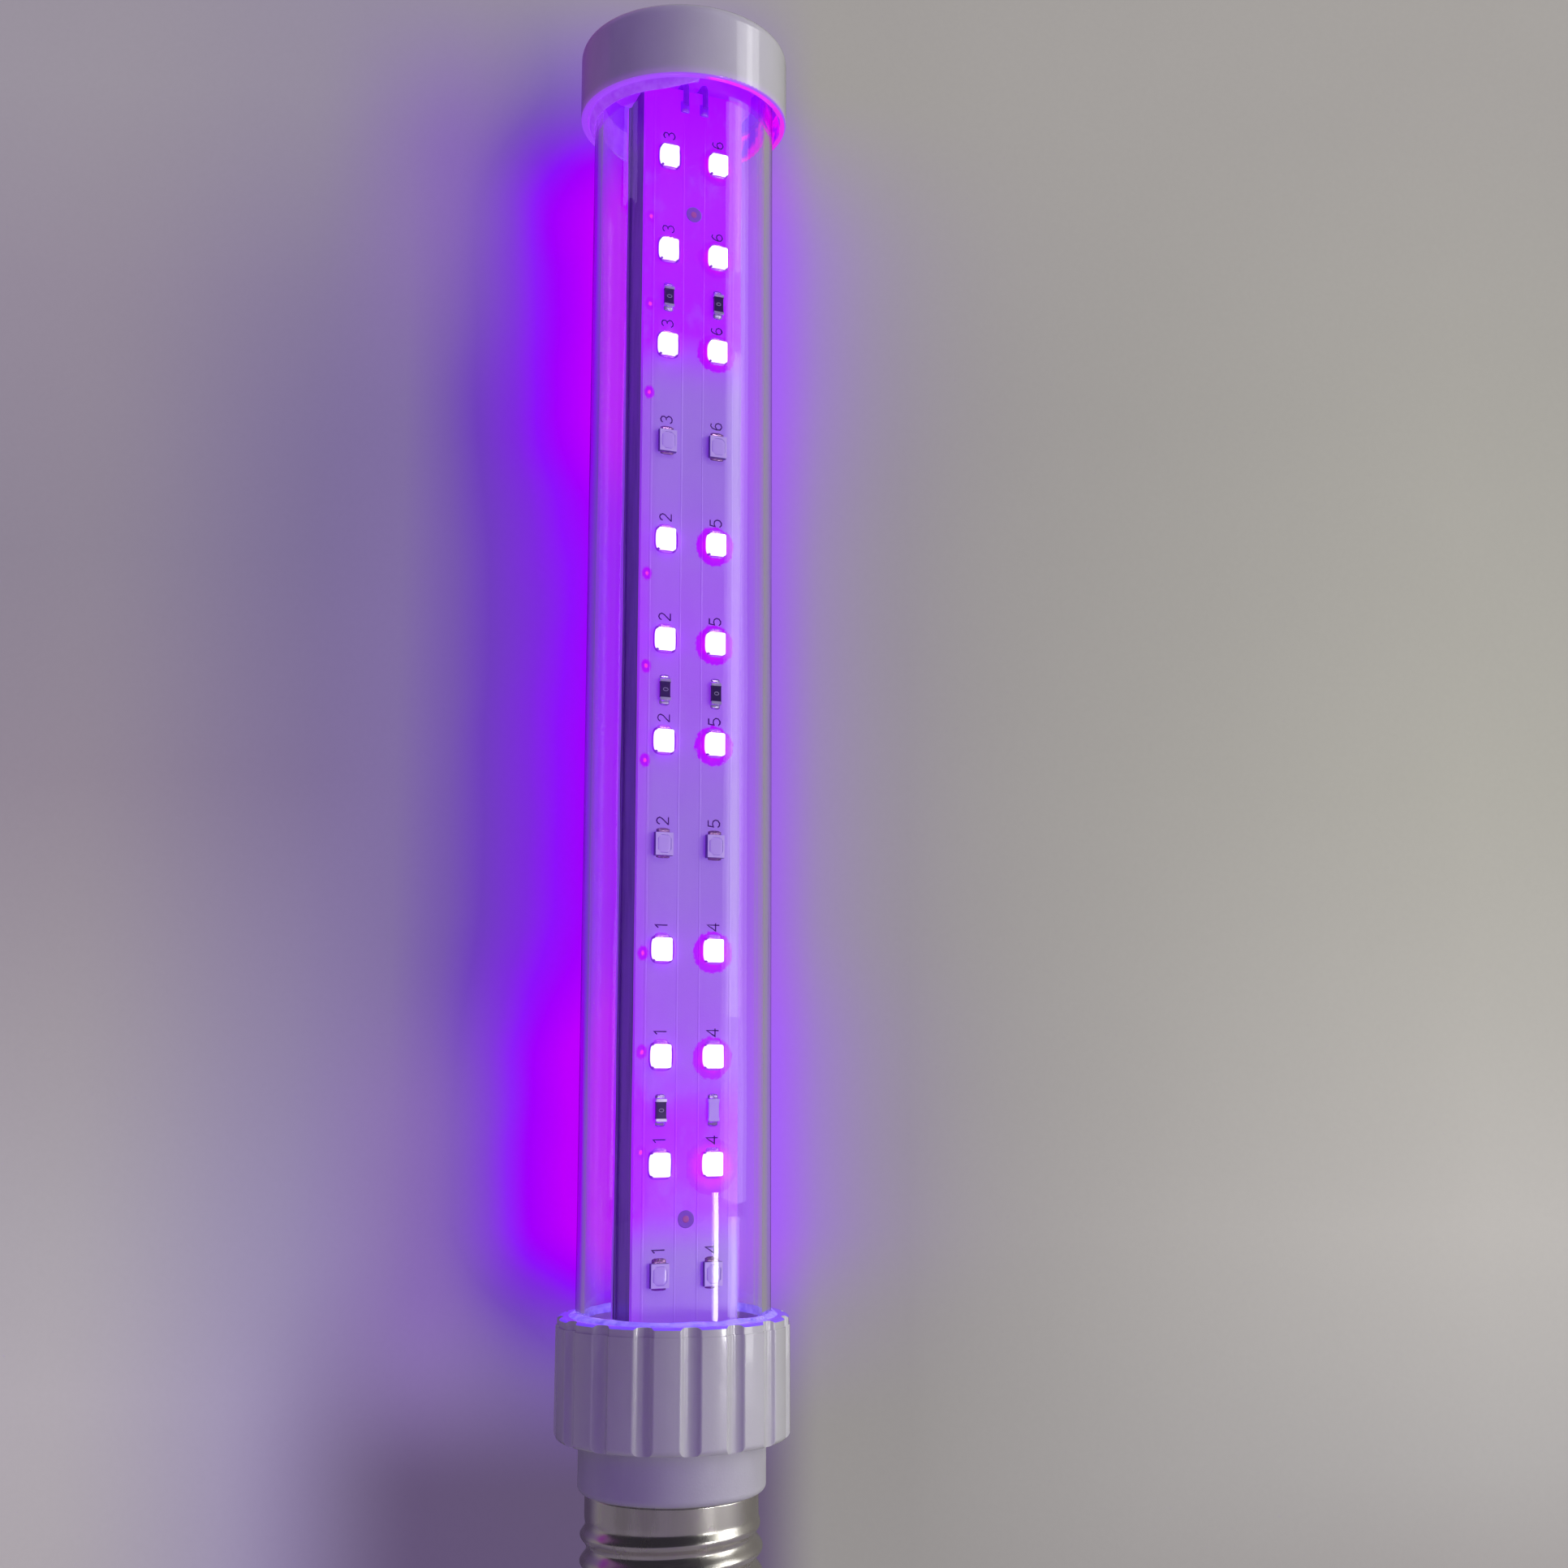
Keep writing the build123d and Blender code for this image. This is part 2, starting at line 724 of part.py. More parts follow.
with BuildPart() as driver_chip:
    with BuildSketch(rear_face):
        with Locations((can_x, can_foot_z + can_height / 2)):
            Rectangle(chip_body_width, chip_body_length)
    extrude(amount=chip_body_height, taper=led_draft)
save(driver_chip, "driver_chip")


# Leads from the driver down to the centre contact and out to the screw shell
with BuildPart() as contact_lead:
    contact_lead_foot_z = stem_top_z
    with BuildSketch(Plane.XY.offset(contact_lead_foot_z)):
        Circle(contact_lead_diameter / 2)
    extrude(amount=driver_foot_z - contact_lead_foot_z)
save(contact_lead, "contact_lead")

with BuildPart() as shell_lead:
    shell_lead_z = driver_foot_z + shell_lead_rise
    shell_lead_y = driver_face + contact_lead_diameter
    shell_lead_reach = thread_root / 2 - shell_wall - contact_lead_diameter
    with BuildLine() as shell_lead_path:
        FilletPolyline(
            (-shell_lead_start, driver_face, shell_lead_z),
            (-shell_lead_start, shell_lead_y, shell_lead_z),
            (-shell_lead_reach, shell_lead_y, shell_lead_z),
            radius=contact_lead_bend,
        )
    with BuildSketch(Plane(shell_lead_path.wire() @ 0, z_dir=(0, 1, 0))):
        Circle(contact_lead_diameter / 2)
    sweep(path=shell_lead_path.wire())
save(shell_lead, "shell_lead")
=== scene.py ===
import json
import math

import bpy
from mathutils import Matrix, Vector, noise


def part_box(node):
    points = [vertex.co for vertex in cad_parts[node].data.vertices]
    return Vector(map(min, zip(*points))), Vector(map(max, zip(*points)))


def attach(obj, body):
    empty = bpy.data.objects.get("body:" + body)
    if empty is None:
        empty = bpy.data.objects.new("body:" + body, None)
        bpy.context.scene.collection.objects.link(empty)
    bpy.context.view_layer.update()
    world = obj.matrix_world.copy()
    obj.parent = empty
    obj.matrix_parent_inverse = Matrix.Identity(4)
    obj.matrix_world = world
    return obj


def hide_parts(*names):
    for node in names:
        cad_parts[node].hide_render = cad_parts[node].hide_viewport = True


with open("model.json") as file:
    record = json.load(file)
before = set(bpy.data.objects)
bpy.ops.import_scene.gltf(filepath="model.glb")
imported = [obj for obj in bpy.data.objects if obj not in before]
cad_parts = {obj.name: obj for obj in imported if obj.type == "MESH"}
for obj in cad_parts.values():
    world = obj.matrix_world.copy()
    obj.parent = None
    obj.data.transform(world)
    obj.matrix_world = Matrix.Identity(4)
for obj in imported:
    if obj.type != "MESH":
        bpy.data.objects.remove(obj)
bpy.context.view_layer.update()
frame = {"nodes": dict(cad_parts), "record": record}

# Insect trap lamp in metres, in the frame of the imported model: +Z runs up to the end cap.
# The front lamp board looks along -Y and the rear one along +Y.
MM = 0.001
VIEW_AZIMUTH = -109.74
AXIS_SIDE = Vector((0.9412, -0.3378, 0))
AXIS_VIEW = Vector((-0.3378, -0.9412, 0))

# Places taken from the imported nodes, in millimetres
group_low, group_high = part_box("front_led_group_1")
board_low, board_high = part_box("front_board")
collar_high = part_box("fluted_collar")[1]
cap_low, cap_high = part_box("end_cap")
tube_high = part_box("clear_tube")[1]
chip_low, chip_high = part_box("front_resistor_1")
shell_low, shell_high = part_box("screw_shell")
drum_low, drum_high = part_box("power_inductor")
LAMP_LENGTH = 3.5
BOARD_FACE = -board_low.y / MM
LAMP_TOP = -group_low.y / MM
LAMP_RISE = LAMP_TOP - BOARD_FACE
FIRST_LAMP = group_low.z / MM + LAMP_LENGTH / 2
LAMP_PITCH = (group_high.z / MM - LAMP_LENGTH / 2 - FIRST_LAMP) / 3
LAMP_COLUMN = -(group_low.x + group_high.x) / 2 / MM
LAMPS_IN_COLUMN = 12
CHIP_HEIGHT = (chip_low.z + chip_high.z) / 2 / MM
CHIP_STEP = 4 * LAMP_PITCH
BOARD_FOOT = board_low.z / MM
BOARD_TOP = board_high.z / MM
COLLAR_TOP = collar_high.z / MM
CAP_MOUTH = cap_low.z / MM
CAP_BORE = cap_high.x / MM - 1.1
TUBE_RADIUS = tube_high.x / MM


# Node helpers
def feed(made, values):
    """Set a node's inputs, or link them where the value is a socket."""
    for socket, value in values.items():
        target = made.inputs[socket]
        if isinstance(value, bpy.types.NodeSocket):
            made.id_data.links.new(value, target)
        else:
            target.default_value = value


def put(tree, kind, values, **settings):
    """Add one node, with its settings and its input values or links."""
    made = tree.nodes.new("ShaderNode" + kind)
    for name, value in settings.items():
        setattr(made, name, value)
    feed(made, values)
    return made


def tree_of(*values):
    """Node tree of the first socket among the values."""
    return next(value.id_data for value in values if isinstance(value, bpy.types.NodeSocket))


def calc(operation, first, second=0, third=0, clamp=False):
    """One math node; gives its output."""
    tree = tree_of(first, second, third)
    values = {0: first, 1: second, 2: third}
    return put(tree, "Math", values, operation=operation, use_clamp=clamp).outputs[0]


def times(*factors):
    """Product of several values."""
    result = factors[0]
    for factor in factors[1:]:
        result = calc("MULTIPLY", result, factor)
    return result


def total(*terms):
    """Sum of several values."""
    result = terms[0]
    for term in terms[1:]:
        result = calc("ADD", result, term)
    return result


def minus(first, second):
    return calc("SUBTRACT", first, second)


def scaled_by(value, factor, start):
    """Value times a factor, from a start."""
    return calc("MULTIPLY_ADD", value, factor, start)


def ramp(value, start, end, low=0, high=1):
    """Smooth step of a value from low at start to high at end."""
    values = {"Value": value, "From Min": start, "From Max": end, "To Min": low, "To Max": high}
    made = put(value.id_data, "MapRange", values, interpolation_type="SMOOTHSTEP")
    return made.outputs["Result"]


def blend(share, first, second, mode="MIX"):
    """Mix two colours by a share."""
    tree = tree_of(share, first, second)
    values = {0: share, 6: first, 7: second}
    made = put(tree, "Mix", {}, data_type="RGBA", blend_type=mode, clamp_factor=True)
    feed(made, values)
    return made.outputs[2]


def place_in_mm(tree):
    """Place on the object in millimetres, whole and as its three parts."""
    spot = put(tree, "TexCoord", {}).outputs["Object"]
    scaled = put(tree, "VectorMath", {0: spot, "Scale": 1 / MM}, operation="SCALE").outputs[0]
    parts = put(tree, "SeparateXYZ", {0: scaled}).outputs
    return scaled, parts[0], parts[1], parts[2]


def along(spot, direction):
    """How far a place lies along a direction."""
    values = {0: spot, 1: direction}
    return put(spot.id_data, "VectorMath", values, operation="DOT_PRODUCT").outputs["Value"]


def light_path(tree):
    return put(tree, "LightPath", {}).outputs


def normal_part(tree, axis):
    """One part of the surface's direction, from -1 to 1."""
    normal = put(tree, "NewGeometry", {}).outputs["Normal"]
    return put(tree, "SeparateXYZ", {0: normal}).outputs[axis]


def length_of(first, second):
    """Length of a pair of values taken as a vector."""
    squares = total(times(first, first), times(second, second))
    return calc("SQRT", squares)


def turned_across(across, deep):
    """Way across the nearer lamp board, to the right as one looks at it."""
    front = calc("LESS_THAN", deep, 0)
    return times(across, scaled_by(front, 2, -1))


def noise_at(spot, stretch, size, detail=3, roughness=0.55):
    """Noise value at a stretched place."""
    tree = spot.id_data
    moved = put(tree, "VectorMath", {0: spot, 1: stretch}, operation="MULTIPLY").outputs[0]
    values = {"Vector": moved, "Scale": size, "Detail": detail, "Roughness": roughness}
    return put(tree, "TexNoise", values).outputs[0]


def rgb(red, green, blue):
    return (red, green, blue, 1)


def new_group(name, inputs, outputs):
    """Empty node group with named sockets; gives the group, its input and its output node."""
    group = bpy.data.node_groups.new(name, "ShaderNodeTree")
    for label, start in inputs.items():
        kind = "NodeSocketColor" if isinstance(start, tuple) else "NodeSocketFloat"
        made = group.interface.new_socket(name=label, in_out="INPUT", socket_type=kind)
        made.default_value = start
    for label in outputs:
        kind = "NodeSocketColor" if label == "Colour" else "NodeSocketFloat"
        group.interface.new_socket(name=label, in_out="OUTPUT", socket_type=kind)
    return group, group.nodes.new("NodeGroupInput").outputs, group.nodes.new("NodeGroupOutput")


def use_group(tree, group, **values):
    """Place a node group in a tree with its own values."""
    made = put(tree, "Group", {}, node_tree=group)
    feed(made, {label.replace("_", " "): value for label, value in values.items()})
    return made.outputs


# Shared effects
def build_moulded_skin():
    """Faint mottle, flow marks and dust of a moulded surface."""
    group, given, result = new_group(
        "moulded_skin",
        {"Colour": rgb(0.8, 0.8, 0.8), "Shade": rgb(0.6, 0.6, 0.6), "Mottle": 0.1, "Base Roughness": 0.3},
        ("Colour", "Roughness", "Height"),
    )
    spot = place_in_mm(group)[0]
    cloud = noise_at(spot, (1, 1, 0.45), 0.16)
    grain = noise_at(spot, (1, 1, 1), 3.2, 2)
    specks = noise_at(spot, (1, 1, 1), 1.7, 4, 0.7)
    dust = ramp(specks, 0.7, 0.76, 0, 0.35)
    share = times(total(ramp(cloud, 0.35, 0.7), dust), given["Mottle"])
    colour = blend(share, given["Colour"], given["Shade"])
    rough = total(given["Base Roughness"], times(cloud, 0.1))
    height = total(times(grain, 0.5), times(cloud, 1.5))
    feed(result, {"Colour": colour, "Roughness": rough, "Height": height})
    return group


def build_drawn_metal():
    """Fine lines along the lamp, as on drawn or rolled metal, with dull patches."""
    group, given, result = new_group(
        "drawn_metal",
        {
            "Colour": rgb(0.8, 0.8, 0.8),
            "Dull Colour": rgb(0.5, 0.5, 0.5),
            "Line Depth": 0.5,
            "Base Roughness": 0.3,
        },
        ("Colour", "Roughness", "Height"),
    )
    spot = place_in_mm(group)[0]
    lines = noise_at(spot, (6, 6, 0.06), 1, 4, 0.6)
    dull = noise_at(spot, (1, 1, 0.2), 0.3, 3)
    patches = times(ramp(dull, 0.42, 0.7), 0.4)
    streaks = times(lines, given["Line Depth"])
    share = calc("ADD", patches, streaks, clamp=True)
    colour = blend(share, given["Colour"], given["Dull Colour"])
    rough = total(given["Base Roughness"], times(share, 0.22))
    feed(result, {"Colour": colour, "Roughness": rough, "Height": lines})
    return group


# Every fourth lamp of a column is out; the others' light is painted on the board round them, with painted
# ghost reflections placed by the values below
GHOST_SHRINK = 0.9209
GHOST_FOOT = 7.475
GHOST_COLUMN = 6.95


def build_lamp_light():
    """Masks of the lamps' light painted on the core: lit lamps, and their painted blaze, halo, ghost
    reflections and wash.
    """
    group, given, result = new_group(
        "lamp_light",
        {"Halo Radius": 3.1},
        ("Lit", "Blaze", "Halo", "Hot", "Rim", "Ghost", "Wash"),
    )
    spot, across, deep, up = place_in_mm(group)
    turned = turned_across(across, deep)
    right = calc("GREATER_THAN", turned, 0)

    def lit_row(height):
        """Nearest lamp's number at a height, whether it is lit, and the way up from it."""
        steps = calc("DIVIDE", minus(height, FIRST_LAMP), LAMP_PITCH)
        number = calc("ROUND", steps)
        fourth = calc("MODULO", total(number, 8), 4)
        out = calc("COMPARE", fourth, 0, 0.3)
        within = calc("COMPARE", number, (LAMPS_IN_COLUMN - 1) / 2, LAMPS_IN_COLUMN / 2 + 0.1)
        lit = times(minus(1, out), within)
        return lit, times(minus(steps, number), LAMP_PITCH)

    lit, off_up = lit_row(up)
    off_across = minus(calc("ABSOLUTE", turned), LAMP_COLUMN)
    ragged = noise_at(spot, (1, 1, 1), 1.5, 5, 0.65)

    # Painted blaze and rim of light round each lit lamp
    wide = calc("POWER", calc("ABSOLUTE", times(off_across, 1 / 1.66)), 3.4)
    tall = calc("POWER", calc("ABSOLUTE", times(off_up, 1 / 1.88)), 3.4)
    square = total(wide, tall)
    blaze = times(ramp(square, 1.08, 0.84), lit)
    rim = times(ramp(square, 1.75, 1.3), lit)

    # Painted halo of light beside each lit lamp of the right column, larger near the foot
    outward = scaled_by(right, 2, -1)
    off_left = total(times(off_across, outward), 0.2)
    far = length_of(off_left, total(off_up, 0.25))
    far = total(far, times(ragged, 1.3))
    near_foot = ramp(up, 80, 73, 0, 1.1)
    edge = total(given["Halo Radius"], near_foot, 0.75)
    depth = times(minus(edge, far), lit, right)
    halo = calc("DIVIDE", depth, 0.25, clamp=True)
    hot = ramp(depth, 0.5, 1.9)

    # Painted ghost reflection of each lit lamp, shrunk and moved across the board
    ghost_up = calc("DIVIDE", minus(up, GHOST_FOOT), GHOST_SHRINK)
    ghost_lit, ghost_off = lit_row(ghost_up)
    ghost_across = total(turned, GHOST_COLUMN)
    ghost_far = length_of(times(ghost_across, 1 / 0.88), times(ghost_off, 1 / 1.25))
    ghost_far = total(ghost_far, times(ragged, 0.5))
    ghost = times(ramp(ghost_far, 1.35, 0.95), ghost_lit)
    core = times(ramp(ghost_far, 0.66, 0.42), ghost_lit)
    hot = calc("MAXIMUM", hot, core)

    # Painted wash of the lamps' light, rising and falling with the chips' spacing
    phase = calc("DIVIDE", minus(up, FIRST_LAMP), CHIP_STEP)
    wave = calc("COSINE", times(phase, 2 * math.pi))
    wash = scaled_by(wave, -0.5, 0.5)
    feed(result, {"Lit": lit, "Blaze": blaze, "Halo": halo, "Hot": hot})
    feed(result, {"Rim": rim, "Ghost": ghost, "Wash": wash})
    return group


MOULDED_SKIN = build_moulded_skin()
DRAWN_METAL = build_drawn_metal()
LAMP_LIGHT = build_lamp_light()


# Materials
def new_material(name):
    """Material with an empty tree; gives the material, its tree and its surface socket."""
    made = bpy.data.materials.new(name)
    made.use_nodes = True
    tree = made.node_tree
    tree.nodes.clear()
    surface = tree.nodes.new("ShaderNodeOutputMaterial").inputs["Surface"]
    return made, tree, surface


def bump(height, strength, reach):
    values = {"Height": height, "Strength": strength, "Distance": reach}
    return put(height.id_data, "Bump", values).outputs["Normal"]


def principled(tree, surface, values):
    """Principled shader on a material's surface, at full emission where it has a colour for it."""
    if "Emission Color" in values:
        values["Emission Strength"] = 1
    shader = put(tree, "BsdfPrincipled", values)
    tree.links.new(shader.outputs[0], surface)
    return shader


def skinned(name, skin_group, settings, depth, reach, values, glow):
    """Material whose colour, roughness and bump come from a shared effect."""
    made, tree, surface = new_material(name)
    skin = use_group(tree, skin_group, **settings)
    normal = bump(skin["Height"], depth, reach)
    values |= {"Base Color": skin["Colour"], "Roughness": skin["Roughness"], "Normal": normal}
    if glow:
        values |= {"Emission Color": rgb(*glow)}
    return made, tree, principled(tree, surface, values)


def moulded(name, colour, shade, mottle, rough, coat=0, depth=0.15, glow=None):
    """Moulded plastic."""
    settings = {"Colour": rgb(*colour), "Shade": rgb(*shade), "Mottle": mottle, "Base_Roughness": rough}
    values = {"Coat Weight": coat, "Coat Roughness": 0.06}
    return skinned(name, MOULDED_SKIN, settings, depth, 0.00012, values, glow)


def metal(name, colour, dull, rough, lines, depth, glow=None):
    """Drawn or plated metal."""
    settings = {"Colour": rgb(*colour), "Dull_Colour": rgb(*dull), "Line_Depth": lines}
    settings["Base_Roughness"] = rough
    return skinned(name, DRAWN_METAL, settings, depth, 0.00008, {"Metallic": 1}, glow)


BLACK = rgb(0, 0, 0)
# Colours of the painted lamp glow and painted reflections on the cap and collar
LAVENDER = rgb(0.3, 0.055, 0.8)
MAGENTA = rgb(0.8, 0, 0.72)
DEEP_VIOLET = rgb(0.17, 0, 0.66)
BLUE_VIOLET = rgb(0.14, 0.05, 0.86)


def glossy_white():
    """Glossy white plastic of cap and collar, with the lamps' light painted on as violet glow at the
    collar's lip and the cap's mouth and bore, and painted magenta reflections inside the mouth.
    """
    made, tree, shader = moulded(
        "white_gloss_plastic", (0.74, 0.73, 0.75), (0.64, 0.62, 0.64), 0.35, 0.16, 0.8, 0.18, (0, 0, 0)
    )
    spot, across, deep, up = place_in_mm(tree)
    radius = length_of(across, deep)
    tilt = normal_part(tree, 2)
    # Painted violet glow of the lamps' light: on the collar's lip, the cap's mouth rim and skirt, and
    # inside the cap's bore, which takes in the middle of its flat end too
    lip = times(
        ramp(tilt, 0.12, 0.62),
        ramp(up, COLLAR_TOP - 1.1, COLLAR_TOP - 0.5),
        calc("LESS_THAN", up, COLLAR_TOP + 1),
    )
    at_mouth = ramp(up, CAP_MOUTH + 1, CAP_MOUTH + 0.3)
    at_mouth = times(at_mouth, calc("GREATER_THAN", up, CAP_MOUTH - 1))
    rim = times(ramp(tilt, -0.1, -0.7), at_mouth)
    skirt = times(ramp(up, CAP_MOUTH + 1.8, CAP_MOUTH), 0.22)
    skirt = times(skirt, calc("GREATER_THAN", up, CAP_MOUTH - 1))
    inside = times(
        calc("LESS_THAN", radius, CAP_BORE + 0.06),
        calc("GREATER_THAN", up, CAP_MOUTH + 0.02),
    )
    glow = blend(skirt, BLACK, rgb(0.34, 0.04, 0.8))
    glow = blend(lip, glow, BLUE_VIOLET)
    glow = blend(rim, glow, LAVENDER)
    # Painted magenta reflections and painted highlights inside the cap's mouth, on the right side
    drift = noise_at(spot, (0.3, 0.3, 0.5), 1, 2)
    painted_reflection_side = ramp(along(spot, AXIS_SIDE), 2.4, 4.4)
    inner_rim = times(rim, painted_reflection_side, ramp(radius, CAP_BORE + 0.84, CAP_BORE + 0.74))
    inner_rim = calc("MAXIMUM", inner_rim, inside)
    bright = times(painted_reflection_side, ramp(total(radius, times(drift, 1.2)), 15.85, 16.1))
    glow = blend(inner_rim, glow, blend(bright, DEEP_VIOLET, MAGENTA))
    # Base colour darkened where the painted glow lies
    dim = calc("MAXIMUM", calc("MAXIMUM", lip, rim), inner_rim)
    plain = shader.inputs["Base Color"].links[0].from_socket
    lit_base = blend(dim, plain, rgb(0.2, 0.1, 0.3))
    feed(shader, {"Base Color": lit_base, "Emission Color": glow})
    return made


def over_bright(tree, share, dark, white, violet):
    """Emission of a lit lamp: white to the eye, violet to everything that it lights."""
    path = light_path(tree)
    seen = calc("MAXIMUM", path["Is Camera Ray"], path["Is Transmission Ray"])
    return blend(share, dark, blend(seen, violet, white))


def lamp_board_white():
    """White solder mask, tinted violet, with faint tracks below it; the lamps' light is painted on it as
    violet colour and glow, with painted halos, blazes and ghost reflections round the lit lamps.
    """
    made, tree, surface = new_material("white_lamp_board")
    spot, across, deep, up = place_in_mm(tree)
    light = use_group(tree, LAMP_LIGHT, Halo_Radius=3.1)
    skin = use_group(
        tree,
        MOULDED_SKIN,
        Colour=rgb(0.5, 0.4, 0.6),
        Shade=rgb(0.45, 0.34, 0.57),
        Mottle=0.5,
        Base_Roughness=0.28,
    )
    side = calc("ABSOLUTE", across)
    track = times(ramp(side, 1.55, 1.65), ramp(side, 1.85, 1.75))
    rail = times(ramp(side, 6.35, 6.45), ramp(side, 6.75, 6.65))
    lines = calc("ADD", track, rail, clamp=True)
    white = blend(times(lines, 0.16), skin["Colour"], rgb(0.42, 0.34, 0.56))
    # Painted violet light of the lamps, stronger at the board's top and foot, on its left and with the
    # wash, in patches
    blotch = noise_at(spot, (1, 1, 0.6), 0.3, 3)
    top_end = ramp(up, 188, 203)
    foot_end = times(ramp(up, 88, 76), ramp(up, 58, 66), 0.75)
    left = times(ramp(turned_across(across, deep), -5.4, -7.6), 0.3)
    painted_light_share = total(times(light["Wash"], 0.34), top_end, foot_end, left)
    painted_light_share = times(calc("MINIMUM", painted_light_share, 1), ramp(blotch, 0.25, 0.5, 0.82, 1))
    painted_light_base = blend(painted_light_share, white, rgb(0.2, 0.02, 0.42))
    glow = blend(painted_light_share, rgb(0.11, 0.012, 0.42), rgb(0.36, 0, 0.92))
    # Painted halos, rims and ghost reflections round the lit lamps, and a painted white blaze under them
    halo = calc("MAXIMUM", light["Halo"], calc("MAXIMUM", light["Ghost"], light["Rim"]))
    painted_light_base = blend(halo, painted_light_base, rgb(0.1, 0, 0.16))
    glow = blend(light["Rim"], glow, rgb(0.16, 0, 0.55))
    spread = calc("MAXIMUM", light["Ghost"], light["Halo"])
    hot = blend(light["Ghost"], rgb(0.62, 0, 0.95), rgb(0.95, 0.04, 0.74))
    warm = blend(light["Hot"], rgb(0.41, 0, 0.92), hot)
    glow = blend(spread, glow, warm)
    glow = over_bright(tree, light["Blaze"], glow, rgb(1.2, 1.1, 1.25), rgb(0.45, 0, 1))
    height = total(skin["Height"], times(lines, 2))
    values = {
        "Base Color": painted_light_base,
        "Roughness": skin["Roughness"],
        "Emission Color": glow,
        "Normal": bump(height, 0.25, 0.0001),
    }
    principled(tree, surface, values)
    return made


def lamp_plastic(name, colour, shade, rough, unlit_glow, strength):
    """Housing or window of a lamp; on a lit one it glows through, a dark one keeps a faint painted violet
    glow, and the side walls take painted shade.
    """
    made, tree, surface = new_material(name)
    light = use_group(tree, LAMP_LIGHT, Halo_Radius=3.1)
    skin = use_group(tree, MOULDED_SKIN, Colour=colour, Shade=shade, Mottle=0.4, Base_Roughness=rough)
    # Painted shade on the side walls of the package
    outward = calc("ABSOLUTE", normal_part(tree, 1))
    wall = ramp(outward, 0.8, 0.3)
    unlit_glow = blend(wall, unlit_glow, rgb(0.015, 0, 0.07))
    plain = blend(wall, skin["Colour"], rgb(0.16, 0.1, 0.28))
    edge = blend(light["Lit"], unlit_glow, rgb(0.1, 0, 0.34))
    violet = rgb(0.4 * strength, 0, strength)
    values = {
        "Base Color": blend(light["Lit"], plain, rgb(0.2, 0.1, 0.3)),
        "Roughness": skin["Roughness"],
        "Emission Color": over_bright(tree, light["Blaze"], edge, rgb(1.5, 1.4, 1.5), violet),
        "Normal": bump(skin["Height"], 0.2, 0.00008),
    }
    principled(tree, surface, values)
    return made


def lamp_solder():
    """Solder at the lamps' ends: dull beside a dark lamp, with the lamps' violet light painted on as glow
    beside a lit one.
    """
    made, tree, shader = metal(
        "lamp_solder", (0.42, 0.26, 0.4), (0.24, 0.12, 0.26), 0.2, 0.3, 0.4, (0, 0, 0)
    )
    lit = use_group(tree, LAMP_LIGHT, Halo_Radius=3.1)["Lit"]
    glow = blend(lit, rgb(0.02, 0, 0.06), rgb(0.3, 0.03, 0.8))
    feed(shader, {"Emission Color": glow})
    return made


def clear_tube_plastic():
    """Clear extruded plastic with fine scratches along it; lamps shine straight through it."""
    made, tree, surface = new_material("clear_plastic")
    spot = place_in_mm(tree)[0]
    hair = noise_at(spot, (2.6, 2.6, 0.05), 1, 5, 0.65)
    rub = noise_at(spot, (1, 1, 0.3), 0.35, 3)
    scratched = times(ramp(hair, 0.62, 0.72), ramp(rub, 0.5, 0.65))
    wave = noise_at(spot, (1, 1, 0.04), 0.55, 2)
    height = total(wave, times(scratched, 0.05))
    values = {
        "Base Color": rgb(0.985, 0.975, 1),
        "Roughness": scaled_by(scratched, 0.1, 0.012),
        "IOR": 1.36,
        "Transmission Weight": 1,
        "Normal": bump(height, 0.1, 0.0002),
    }
    glass = put(tree, "BsdfPrincipled", values)
    path = light_path(tree)
    through = calc("MAXIMUM", path["Is Shadow Ray"], path["Is Diffuse Ray"])
    clear = put(tree, "BsdfTransparent", {"Color": rgb(0.93, 0.93, 0.95)})
    mixed = put(tree, "MixShader", {0: through, 1: glass.outputs[0], 2: clear.outputs[0]})
    tree.links.new(mixed.outputs[0], surface)
    return made


def glue_clear():
    """Milky glue with the lamps' light painted on as glow: lavender at the cap, bluer at the collar."""
    made, tree, surface = new_material("clear_glue")
    spot, _, _, up = place_in_mm(tree)
    lumps = noise_at(spot, (1, 1, 1), 0.8, 3)
    share = ramp(lumps, 0.3, 0.72)
    at_cap = calc("GREATER_THAN", up, (CAP_MOUTH + COLLAR_TOP) / 2)
    low_glow = blend(share, rgb(0.1, 0.05, 0.62), rgb(0.24, 0.16, 0.86))
    high_glow = blend(share, rgb(0.27, 0.03, 0.76), rgb(0.31, 0.06, 0.82))
    values = {
        "Base Color": blend(at_cap, rgb(0.42, 0.38, 0.6), rgb(0.12, 0.08, 0.2)),
        "Roughness": scaled_by(share, 0.12, 0.12),
        "IOR": 1.46,
        "Emission Color": blend(at_cap, low_glow, high_glow),
        "Coat Weight": 0.3,
        "Normal": bump(lumps, 0.3, 0.0002),
    }
    principled(tree, surface, values)
    return made


